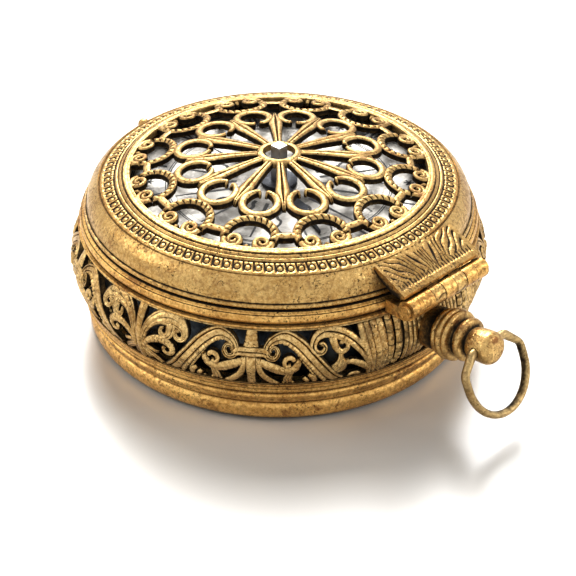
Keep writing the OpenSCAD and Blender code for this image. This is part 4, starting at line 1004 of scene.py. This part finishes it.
        def dirt(r: float, height: float) -> float:
            """Dirt in the cove and in the grooves between the ridges."""
            cove = 0.62 * bell_curve(height - (z - 3.25), 0.4)
            lines = max(bell_curve(height - line, wide) for line, wide in
                        ((z - 3.88, 0.14), (z - 1.92, 0.14), (z - 1.09, 0.09), (z - 0.45, 0.09)))
            return max(cove, 0.95 * lines)

        return finished(turned(outside, 256, dirt), "base_moulding_turned", "case",
                        self.finishes.of("gilt_moulding"), ["base_moulding"])

    def build(self) -> None:
        """Makes the whole case."""
        self.build_band()
        self.build_panel_back()
        self.build_rim()
        self.build_base()


@dataclass
class Pendant:
    """Turned pendant and the bow that hangs in it.

    hole is the y and z of the bow's hole. Each groove is a place along the pendant and a width.
    """

    finishes: Finishes
    root: Triple = (0.0, 30.0, 11.3)
    tilt: float = 8.0
    length: float = 10.5
    knob_r: float = 2.3
    hole: Pair = (38.417, 12.483)
    wire_r: float = 0.65
    bow_half: float = 5.7
    bar_half: float = 2.9
    slope: float = 42.0
    corner: float = 1.6
    foot: float = 4.05
    lean: float = 26.0
    slid: float = 0.6
    grooves: tuple[Pair, ...] = (
        (2.5, 0.22), (3.5, 0.16), (4.75, 0.34), (6.5, 0.3), (1.3, 0.7))
    collar_r: float = 3.3

    def build_pendant(self) -> bpy.types.Object:
        """Collars and knob, drilled for the bow.

        Returns:
            The pendant.
        """
        outline = [(0, -2.2), (2.98, -2.2), (2.98, 1.5), (3.24, 1.74), (self.collar_r, 2.0), (3.22, 2.28),
                   (2.92, 2.5)]
        outline += arc(3.1, 3.02, 0.53, -72, 62, 8) + arc(3.08, 3.95, 0.45, -52, 80, 8)
        outline += [(2.6, 4.52), (2.46, 4.75), (2.5, 5.05)] + arc(2.48, 5.7, 0.55, -72, 72, 9)
        outline += [(2.06, 6.35), (2.0, 6.55), (2.05, 6.75), (2.16, 7.0), (2.22, 7.5), (2.28, 8.2),
                    (self.knob_r, 9.0)]
        outline += arc(self.knob_r - 1.15, self.length - 1.15, 1.15, 4, 84, 9) + [(0, self.length)]
        bm = spun(outline, 72, False)
        layer = bm.verts.layers.float[DIRT_AND_SHADE]
        for vert in bm.verts:
            radius = math.hypot(vert.co.x, vert.co.y)
            neck = max(bell_curve(vert.co.z - place, width) for place, width in self.grooves)
            vert[layer] = min(1.0, neck if radius < self.collar_r else 0.2 * neck)
        rotate(bm, self.tilt - 90, "X")
        shift(bm, self.root)
        obj = finished(bm, "turned_pendant", "case", self.finishes.of("gilt_pendant"),
                       ["pendant"])
        carve(obj, [rod_along_x(self.wire_r + 0.07, 5.0, 0, *self.hole)])
        return obj

    def bow_line(self) -> np.ndarray:
        """Middle line of the bow's wire, once round it.

        Returns:
            Rows of x and height, with the bar in the knob at height 0.
        """
        half, slant = self.bow_half, math.radians(self.slope)
        end = (self.bar_half + math.sin(slant), math.cos(slant) - 1)
        corner_x = half - self.corner
        side_z = (end[1] - (corner_x + self.corner * math.sin(slant) - end[0]) * math.tan(slant)
                  - self.corner * math.cos(slant))
        line = [(x, 0.0) for x in np.linspace(0, self.bar_half, 8)]
        line += [(self.bar_half + math.sin(t), math.cos(t) - 1) for t in np.linspace(0.2, slant, 4)]
        line += [(corner_x + self.corner * math.sin(t), side_z + self.corner * math.cos(t))
                 for t in np.linspace(slant, math.pi / 2, 7)]
        line += [(half, z) for z in np.linspace(side_z - 0.4, -self.foot, 3)]
        line += [(half * math.cos(t), -self.foot - half * math.sin(t))
                 for t in np.linspace(0.15, math.pi / 2, 16)]
        return np.array(line + [(-x, z) for x, z in reversed(line[1:-1])])

    def build_bow(self) -> bpy.types.Object:
        """Bow of flattened wire, its shoulders rounded and its foot tapering to the round.

        Returns:
            The bow.
        """
        line = self.bow_line()
        count = len(line)
        bm = blank()
        layer = bm.verts.layers.float[DIRT_AND_SHADE]
        made = bmesh.ops.create_grid(bm, x_segments=count, y_segments=20, size=1)
        for vert in made["verts"]:
            i = round((vert.co.x + 1) / 2 * count) % count
            t = (vert.co.y + 1) * math.pi
            way = line[(i + 1) % count] - line[(i - 1) % count]
            way /= np.linalg.norm(way)
            out = np.array([-way[1], way[0]])
            low = min(1.0, max(0.0, (-line[i][1] - 0.6) / 1.2))
            x, z = line[i] + out * (self.wire_r - 0.14 * low) * math.cos(t)
            vert.co = Vector((x, self.wire_r * math.sin(t), z))
            inner = math.cos(t) * (1 if out @ line[i] > 0 else -1)
            vert[layer] = 0.75 * max(0.0, -inner) * low
        bmesh.ops.remove_doubles(bm, verts=bm.verts, dist=1e-3)
        rotate(bm, self.lean, "X")
        shift(bm, (-self.slid, *self.hole))
        return finished(bm, "forged_bow", "bow", self.finishes.of("bronze_bow"), ["bow"], 60)

    def build(self) -> None:
        """Makes the pendant and its bow."""
        self.build_pendant()
        self.build_bow()


@dataclass
class Cover:
    """Cover over the dial: bezel, bead band, openwork and hinge leaf.

    petal is a place and a radius, loop a place and two half sizes, volute a place, and punch_ring
    a place in its cell and a radius. Knuckles are numbered from 0 along the pin. leaf_top is the
    leaf's upper line as y and z, and leaf_foot the height of its underside at the same y.
    """

    finishes: Finishes
    lip_r: float = 27.4
    lip_z: float = 18.5
    grille_r: float = 21.4
    grille_z: float = 23.7
    hub_z: float = 26.4
    grille_t: float = 1.1
    line_r: float = 23.16
    edge_r: float = 25.25
    hole_r: float = 2.25
    hub_r: float = 3.1
    hinge_y: float = 31.0
    hinge_z: float = 18.0
    barrel_r: float = 1.4
    pitch: float = 2.16
    knuckle: float = 2.1
    own_knuckles: tuple[int, ...] = (2, 4)
    other_knuckles: tuple[int, ...] = (0, 1, 3, 5, 6)
    leaf_top: tuple[Pair, ...] = ((25.2, 22.3), (26.2, 21.95), (28.4, 21.05), (30.55, 20.05))
    leaf_foot: tuple[float, ...] = (21.6, 20.7, 19.5, 19.36)
    pattern_turn: float = 3.0
    petal: Pair = (12.3, 2.42)
    loop: Triple = (18.5, 2.98, 3.36)
    volute: Pair = (19.86, 1.98)
    beads: int = 108
    punch_stroke: float = 0.22
    punch_ring: Triple = (0.62, 0.46, 0.42)

    @property
    def dome_r(self) -> float:
        """Radius of the dome that the openwork lies on."""
        rise = self.hub_z - self.grille_z
        return (self.grille_r ** 2 + rise ** 2) / (2 * rise)

    def on_dome(self, x: float, y: float, height: float) -> Vector:
        """Place on the openwork of a point of the flat pattern."""
        radius = math.hypot(x, y)
        if radius > self.grille_r - 0.03:
            x, y = x * (self.grille_r - 0.03) / radius, y * (self.grille_r - 0.03) / radius
            radius = self.grille_r - 0.03
        dome = self.hub_z - self.dome_r + math.sqrt(self.dome_r ** 2 - radius ** 2)
        return Vector((x, y, dome - self.grille_t + height))

    def build_bezel(self) -> bpy.types.Object:
        """Turned bezel with its fine lines.

        Returns:
            The bezel.
        """
        lip, edge, line, top = self.lip_r, self.edge_r, self.line_r, self.grille_z
        foot, head = np.array([lip - 0.15, self.lip_z + 0.65]), np.array([edge + 0.29, top - 1.48])
        way = (head - foot) / np.linalg.norm(head - foot)
        side = np.array([way[1], -way[0]])
        outside = beside(lip, self.lip_z, (
            (-0.1, 0), (0.2, 0.04), (0.25, 0.16), (0.25, 0.34), (0.16, 0.5), (-0.12, 0.58)))
        outside += [tuple(foot + (head - foot) * t + side * 1.72 * t * (1 - t))
                    for t in np.linspace(0, 1, 22)]
        outside += beside(edge, top, ((0.2, -1.62), (0.1, -1.68), (0.04, -1.6), (-0.02, -1.64)))
        outside += beside(line, top, (
            (0.1, -0.93), (0.06, -0.84), (-0.02, -0.88), (-0.2, -0.56), (-0.3, -0.5), (-0.42, -0.52),
            (-0.52, -0.62), (-0.6, -0.6), (-0.78, -0.34), (-0.92, -0.3), (-1.04, -0.4), (-1.1, -0.42)))
        outside += beside(self.grille_r, top, ((0.5, -0.12), (0.3, -0.06), (0.06, 0), (0, -0.02)))
        inside = [(self.grille_r, top - self.grille_t), (line, top - 1.8), (edge - 0.4, top - 2.45)]
        inside += beside(lip, self.lip_z, ((-1.7, 1.4), (-1, 0.4), (-1, 0)))
        fine = (line - 0.55, line - 1.08, line + 0.02, edge + 0.12, self.grille_r + 0.42)

        def dirt(r: float, z: float) -> float:
            """Dirt in the fine lines, on the bead band's ground and under the lip bead."""
            if z < top - 2.6:
                return 0.95 * bell_curve(z - (self.lip_z + 0.6), 0.1)
            ground = 0.8 if line + 0.05 < r < edge - 0.02 else 0.0
            return max(ground, max(bell_curve(r - place, 0.09) for place in fine))

        return finished(turned(outside + inside, 288, dirt), "bezel_turned", "cover",
                        self.finishes.of("gilt_cover"), ["cover_bezel"])

    def punch(self, along: float, across: float) -> float:
        """Depth of the punched sign at a place in its cell, both from 0 to 1, across counted outwards."""
        x, y, radius = self.punch_ring
        slant = along - self.punch_stroke - 0.22 * (across - 0.5)
        reach = min(1.0, max(0.0, (0.95 - across) / 0.3)) if across > 0.06 else 0.0
        ring = math.hypot((along - x) * 1.37, (across - y) * 1.75)
        return max(bell_curve(slant, 0.09) * reach, 0.9 * bell_curve(ring - radius, 0.12))

    def build_bead_band(self) -> bpy.types.Object:
        """Band of punched signs round the openwork.

        Returns:
            The band.
        """
        bm = blank()
        layer = bm.verts.layers.float[DIRT_AND_SHADE]
        cell, rows = 14, 11
        around = self.beads * cell
        made = bmesh.ops.create_grid(bm, x_segments=around, y_segments=rows + 2, size=1)
        inner, outer = self.line_r + 0.12, self.edge_r - 0.05
        for vert in made["verts"]:
            i = round((vert.co.x + 1) / 2 * around)
            j = round((vert.co.y + 1) / 2 * (rows + 2))
            across = min(max((j - 1) / rows, 0), 1)
            depth = self.punch((i % cell) / cell, across)
            # Grooves along both edges of the band, darkened; the darkness along the outer edge is a painted
            # shade line.
            border = 0.8 * bell_curve(across, 0.07) + 0.45 * bell_curve(across - 1, 0.06)
            radius = inner + (outer - inner) * across
            fall = (radius - self.line_r) / (self.edge_r - self.line_r)
            ground = self.grille_z - 0.86 - 0.76 * fall
            height = ground + 0.16 - 0.2 * max(depth, min(border, 1))
            if j in (0, rows + 2):
                height = ground - 0.25
            angle = 2 * math.pi * (i % around) / around
            vert.co = Vector((radius * math.cos(angle), radius * math.sin(angle), height))
            vert[layer] = min(1.0, 1.5 * max(depth, 0.8 * border))
        bmesh.ops.remove_doubles(bm, verts=bm.verts, dist=1e-4)
        rim = [edge for edge in bm.edges if edge.is_boundary]
        bmesh.ops.bridge_loops(bm, edges=rim)
        return finished(bm, "punched_band", "cover", self.finishes.of("gilt_cover"), (), 60)

    def petal_ring(self) -> Stroke:
        """Ring of one petal, open towards the middle, with two fine tips."""
        at, radius = self.petal
        turns = np.radians(np.linspace(-166, 166, 30))
        ring = [(at + radius * math.cos(t), radius * math.sin(t), 0.6 + 0.55 * min(1.0, min(i, 29 - i) / 4))
                for i, t in enumerate(turns)]
        x, y = (1.9 * trace(turns[-1] + 0.03) for trace in (math.cos, math.sin))
        return Stroke(((at + x, -y, 0.3), *ring, (at + x, y, 0.3)), 1.02)

    def sector(self) -> list[Stroke]:
        """Bars of one hour of the openwork, its petal on the X axis."""
        at, deep, wide = self.loop
        loop = tuple((at + deep * math.cos(t), wide * math.sin(t), 1.18)
                     for t in np.radians(np.linspace(76, 284, 28)))
        volute = tuple(spiral(*self.volute, 112, -1.75, 1.34, 0.2, 1.0, 0.46))
        spine = [(2.8, 0, 1.15), (5, 0, 1.3), (7.5, 0, 1.65), (9.4, 0, 2.05), (10.2, 0, 1.9), (11.1, 0, 1.3),
                 (12.2, 0, 0.8), (13.2, 0, 0.5)]
        bars = [
            self.petal_ring(),
            Stroke(loop, 1.05, Section.ROPE),
            Stroke(volute, 1.02),
            Stroke(tuple((x, -y, width) for x, y, width in volute), 1.02),
            Stroke(((21.25, 0.0, 0.5), (20.6, 0.0, 0.75), (20.1, 0.0, 0.35)), 0.85),
            Stroke(swung(spine, 15), 1.05, Section.GROOVED),
            Stroke(swung([(18.5, -1.7, 1.0), (18.56, 0, 1.15), (18.5, 1.7, 1.0)], 15), 0.92, Section.FLAT),
        ]
        for side in (-1, 1):
            bars.append(Stroke(((21.3, side * 3.5, 0.9), (20.7, side * 3.3, 0.8), (20.1, side * 3.1, 0.6)),
                               0.9))
            bars.append(Stroke(swung([(18.26, side * 0.62, 0.6), (18.86, side * 0.62, 0.6)], 15), 1.08))
        return bars

    def build_openwork(self) -> bpy.types.Object:
        """Sawn and chased rose over the dial.

        Returns:
            The openwork.
        """
        bm = blank()
        piece = laid(self.sector(), self.on_dome)
        for hour in range(12):
            add_turned(bm, piece, self.pattern_turn + 30 * hour)
        hub = beside(self.hole_r, self.hub_z, ((0.04, -0.06), (0, -1.05)))
        hub += beside(self.hub_r, self.hub_z, ((0.05, -1.1), (0, -0.3), (-0.14, -0.16)))
        hub += [(2.9, self.hub_z - 0.16), (2.74, self.hub_z - 0.02), (2.5, self.hub_z)]
        rim = beside(21.37, self.grille_z, (
            (-0.42, -0.92), (0, -1.05), (0, -0.02), (-0.17, 0.02), (-0.31, 0.02), (-0.4, -0.1)))
        for profile in (hub, rim):
            pour(turned(profile, 192, lambda r, z: bell_curve(r - 2.86, 0.08)), bm)
        return finished(bm, "rose_openwork", "cover", self.finishes.of("gilt_openwork"),
                        ["cover_grille"])

    def leaf_relief(self, x: float, t: float, half: float) -> Pair:
        """Height and dirt of the chased hinge leaf.

        Args:
            x: millimetres from the middle.
            t: 0 at the bezel and 1 at the knuckles.
            half: half the leaf's length.

        Returns:
            The height above the ground in millimetres, and the dirt.
        """
        if t > 0.92 or bell_curve(t - 0.92, 0.07) > 0.6 or abs(x) > half - 0.6:
            return 0.3, 0.15
        if t > 0.74:
            dots = 0.5 + 0.5 * math.cos(2 * math.pi * x / 0.55)
            return 0.1 + 0.12 * dots, 0.8 - 0.4 * dots
        fan = math.atan2(x + 0.25 * math.sin(2.1 * x), 8.0 - 5.5 * t) / math.radians(6.5)
        ray = 0.5 + 0.5 * math.cos(2 * math.pi * fan)
        deep = (1 - ray) ** 3 * (0.8 + 0.2 * math.sin(3.7 * x + 1))
        return 0.27 - 0.24 * deep, 0.1 + 0.9 * min(1.0, 1.4 * deep)

    def build_leaf(self) -> bpy.types.Object:
        """Hinge leaf from the bezel to the knuckles, cut free of the knuckles that aren't its own.

        Returns:
            The leaf.
        """
        half = 3.5 * self.pitch
        line = np.array(self.leaf_top)
        runs = np.linspace(0, 1, len(line))
        bm = blank()
        layer = bm.verts.layers.float[DIRT_AND_SHADE]
        made = bmesh.ops.create_grid(bm, x_segments=150, y_segments=26, size=1)
        for vert in made["verts"]:
            x, t = vert.co.x * half, (vert.co.y + 1) / 2
            y, z = (float(np.interp(t, runs, line[:, k])) for k in range(2))
            height, dirt = self.leaf_relief(x, t, half)
            vert.co = Vector((x, y, z - 0.3 + height))
            vert[layer] = dirt
        made = bmesh.ops.extrude_face_region(bm, geom=bm.faces[:])
        lower = [item for item in made["geom"] if isinstance(item, bmesh.types.BMVert)]
        for vert in lower:
            vert.co.z = float(np.interp(vert.co.y, line[:, 0], self.leaf_foot))
            vert[layer] = 1.0
        obj = finished(bm, "chased_leaf", "cover", self.finishes.of("gilt_cover"),
                       ["cover_leaf"])
        carve(obj, [rod_along_x(self.barrel_r + 0.3, self.pitch / 2 + 0.03, (number - 3) * self.pitch,
                                self.hinge_y, self.hinge_z) for number in self.other_knuckles])
        return obj

    def build_knuckles(self) -> bpy.types.Object:
        """The cover's two knuckles with the short arms that join them to the leaf.

        Returns:
            The knuckles.
        """
        bm = blank()
        half, outer = self.knuckle / 2, self.barrel_r
        profile = [(0.66, -half), (outer - 0.1, -half), (outer, -half + 0.1), (outer, half - 0.1),
                   (outer - 0.1, half), (0.66, half)]
        for number in self.own_knuckles:
            x = (number - 3) * self.pitch
            barrel = turned(profile, 48, lambda r, z: 0.8 if abs(z) > half - 0.06 else 0.1)
            rotate(barrel, 90, "Y")
            shift(barrel, (x, self.hinge_y, self.hinge_z))
            pour(barrel, bm)
            pour(box_cutter((x - half, self.hinge_y - outer + 0.05, self.hinge_z + 0.72),
                            (x + half, self.hinge_y - 0.3, self.hinge_z + outer + 0.1)), bm)
        return finished(bm, "leaf_knuckles", "cover", self.finishes.of("gilt_cover"))

    def build(self) -> None:
        """Makes the whole cover."""
        self.build_bezel()
        self.build_bead_band()
        self.build_openwork()
        self.build_leaf()
        self.build_knuckles()


LETTER_WIDTHS = {"I": 0.75, "V": 1.7, "X": 1.7}


@dataclass
class Dial:
    """Numerals, stars, rings and rays on the silver dial. star is a place and a half size."""

    finishes: Finishes
    face_z: float = 21.25
    rise: float = 0.04
    inner_r: float = 16.3
    outer_r: float = 20.6
    rings: tuple[float, ...] = (15.75, 16.05, 20.85, 21.1)
    star: Pair = (18.4, 0.75)
    serif: float = 0.32
    ray_r: float = 6.0
    ray_step: float = 0.75
    numerals: tuple[str, ...] = ("XII", "I", "II", "III", "IIII", "V", "VI", "VII", "VIII", "IX", "X", "XI")

    def ink_bar(self, bm: BMesh, x0: float, y0: float, x1: float, y1: float, width: float,
                turn: float, out: float) -> None:
        """Adds one filled bar of a sign.

        Args:
            bm: the mesh that gets it.
            x0, y0, x1, y1: its ends, in millimetres, across and up the sign.
            width: its width.
            turn: angle of the sign on the dial, in degrees.
            out: distance of the sign's foot from the middle.
        """
        verts = bmesh.ops.create_cube(bm, size=1)["verts"]
        bmesh.ops.scale(bm, vec=(width, math.hypot(x1 - x0, y1 - y0), self.rise), verts=verts)
        middle = ((x0 + x1) / 2, (y0 + y1) / 2 + out, self.face_z + self.rise / 2 - 0.01)
        lean = Matrix.Translation(middle) @ Matrix.Rotation(math.atan2(x0 - x1, y1 - y0), 4, "Z")
        bmesh.ops.transform(bm, matrix=Matrix.Rotation(math.radians(turn - 90), 4, "Z") @ lean, verts=verts)

    def numeral(self, bm: BMesh, text: str, turn: float) -> None:
        """Adds one Roman number, its foot towards the middle."""
        tall, out = self.outer_r - self.inner_r - 0.7, self.inner_r + 0.35
        x = -sum(LETTER_WIDTHS[letter] for letter in text) / 2
        for letter in text:
            end = x + LETTER_WIDTHS[letter]
            middle = (x + end) / 2
            strokes = {
                "I": [(middle, 0, middle, tall, 0.4)],
                "V": [(x + 0.27, tall, middle, 0, 0.42), (end - 0.27, tall, middle, 0, 0.2)],
                "X": [(x + 0.22, tall, end - 0.22, 0, 0.42), (end - 0.22, tall, x + 0.22, 0, 0.2)],
            }
            for x0, y0, x1, y1, width in strokes[letter]:
                self.ink_bar(bm, x0, y0, x1, y1, width, turn, out)
                for tip, y in ((x0, y0), (x1, y1)):
                    if letter != "V" or y:
                        self.ink_bar(bm, tip - self.serif, y, tip + self.serif, y, 0.16, turn, out)
            x = end

    def build(self) -> None:
        """Makes the signs of the dial."""
        bm = blank()
        at, half = self.star
        for number, text in enumerate(self.numerals):
            self.numeral(bm, text, 90 - 30 * number)
            for k in range(3):
                x, y = half * math.sin(math.radians(60 * k)), half * math.cos(math.radians(60 * k))
                self.ink_bar(bm, -x, -y, x, y, 0.26, 75 - 30 * number, at)
        for radius in self.rings:
            chord = radius * math.sin(math.radians(1.6))
            for k in range(120):
                self.ink_bar(bm, -chord, 0, chord, 0, 0.15, 3 * k, radius)
        for ray in range(24):
            sway = 0.35 if ray % 2 else 0.0
            for k in range(12):
                r0, r1 = self.ray_r + self.ray_step * k, self.ray_r + self.ray_step * (k + 1)
                self.ink_bar(bm, sway * math.sin(2.2 * r0), r0, sway * math.sin(2.2 * r1), r1,
                             0.2 + 0.03 * (12 - k), 15 * ray, 0)
        finished(bm, "dial_signs", "movement", self.finishes.ink)


@dataclass
class Studio:
    """Camera, floor, backdrop and lamps."""

    eye: Triple = (0.14897, 0.14897, 0.14591)
    way: Triple = (-0.58921, -0.58157, -0.56089)
    top: Triple = (-0.39421, -0.39904, 0.82787)
    lens: float = 107.83
    sensor: float = 36.0
    aim: Triple = (0, 0, 0.012)
    fill: float = 0.3
    floor_half: float = 1.5
    floor_light: Triple = (0.85, 0.82, 0.77)
    floor_dark: Triple = (0.83, 0.8, 0.75)
    lamps: tuple[tuple[str, Triple, float, float], ...] = field(default=(
        ("key", (-0.25, -0.31, 0.42), 0.36, 5.4),
        ("left", (0.34, -0.34, 0.3), 0.3, 0.75),
        ("right", (-0.3, 0.45, 0.3), 0.3, 1.0),
    ))

    def camera(self) -> None:
        """Sets the camera of the photograph."""
        data = bpy.data.cameras.new("camera")
        data.lens = self.lens
        data.sensor_width = self.sensor
        data.clip_start, data.clip_end = 0.01, 10
        obj = bpy.data.objects.new("camera", data)
        back, up = -Vector(self.way), Vector(self.top)
        right = up.cross(back).normalized()
        up = back.cross(right)
        obj.matrix_world = Matrix.Translation(self.eye) @ Matrix((right, up, back)).transposed().to_4x4()
        bpy.context.scene.collection.objects.link(obj)
        bpy.context.scene.camera = obj

    def light(self) -> None:
        """Places the lamps, each aimed at the watch."""
        for name, place, size, power in self.lamps:
            data = bpy.data.lights.new(name, "AREA")
            data.size, data.energy = size, power
            obj = bpy.data.objects.new(name, data)
            aim = (Vector(self.aim) - Vector(place)).to_track_quat("-Z", "Y")
            obj.matrix_world = Matrix.Translation(place) @ aim.to_matrix().to_4x4()
            bpy.context.scene.collection.objects.link(obj)

    def world(self) -> None:
        """White for the camera, the glossy and the transmission rays, and plain grey for the light."""
        world = bpy.data.worlds.new("studio")
        world.use_nodes = True
        tree = world.node_tree
        tree.nodes.clear()
        out = tree.nodes.new("ShaderNodeOutputWorld")
        ground, seen = (tree.nodes.new("ShaderNodeBackground") for _ in range(2))
        for node, strength in ((ground, self.fill), (seen, 1.0)):
            node.inputs["Color"].default_value = (1, 1, 1, 1)
            node.inputs["Strength"].default_value = strength
        path = tree.nodes.new("ShaderNodeLightPath")
        most, glossy = (tree.nodes.new("ShaderNodeMath") for _ in range(2))
        most.operation = glossy.operation = "MAXIMUM"
        mix = tree.nodes.new("ShaderNodeMixShader")
        for source, target in (
            (path.outputs["Is Camera Ray"], glossy.inputs[0]),
            (path.outputs["Is Glossy Ray"], glossy.inputs[1]),
            (glossy.outputs[0], most.inputs[0]),
            (path.outputs["Is Transmission Ray"], most.inputs[1]),
            (most.outputs[0], mix.inputs[0]),
            (ground.outputs[0], mix.inputs[1]),
            (seen.outputs[0], mix.inputs[2]),
            (mix.outputs[0], out.inputs["Surface"]),
        ):
            tree.links.new(source, target)
        bpy.context.scene.world = world

    def floor(self) -> None:
        """Pale floor under the watch."""
        bm = bmesh.new()
        bmesh.ops.create_grid(bm, x_segments=1, y_segments=1, size=self.floor_half)
        mesh = bpy.data.meshes.new("floor")
        bm.to_mesh(mesh)
        bm.free()
        obj = bpy.data.objects.new("floor", mesh)
        bpy.context.scene.collection.objects.link(obj)
        g = Graph("pale_floor")
        clouds = g.ramp(g.noise(60, 2), 0.3, 0.7)
        g.feed(g.mix(clouds, colour(*self.floor_light), colour(*self.floor_dark)),
               g.shader.inputs["Base Color"])
        g.shader.inputs["Roughness"].default_value = 0.3
        g.shader.inputs["IOR"].default_value = 1.8
        mesh.materials.append(g.material)

    def build(self) -> None:
        """Sets up the whole studio."""
        self.camera()
        self.light()
        self.world()
        self.floor()
        bpy.context.scene.view_settings.view_transform = "Standard"


def main() -> None:
    """Builds the watch and its studio."""
    finishes = Finishes()
    finishes.dress_nodes()
    Studio().build()
    for part in (Case(finishes), Pendant(finishes), Cover(finishes), Dial(finishes)):
        log.info("making %s", type(part).__name__.lower())
        part.build()


if __name__ == "__main__":
    main()
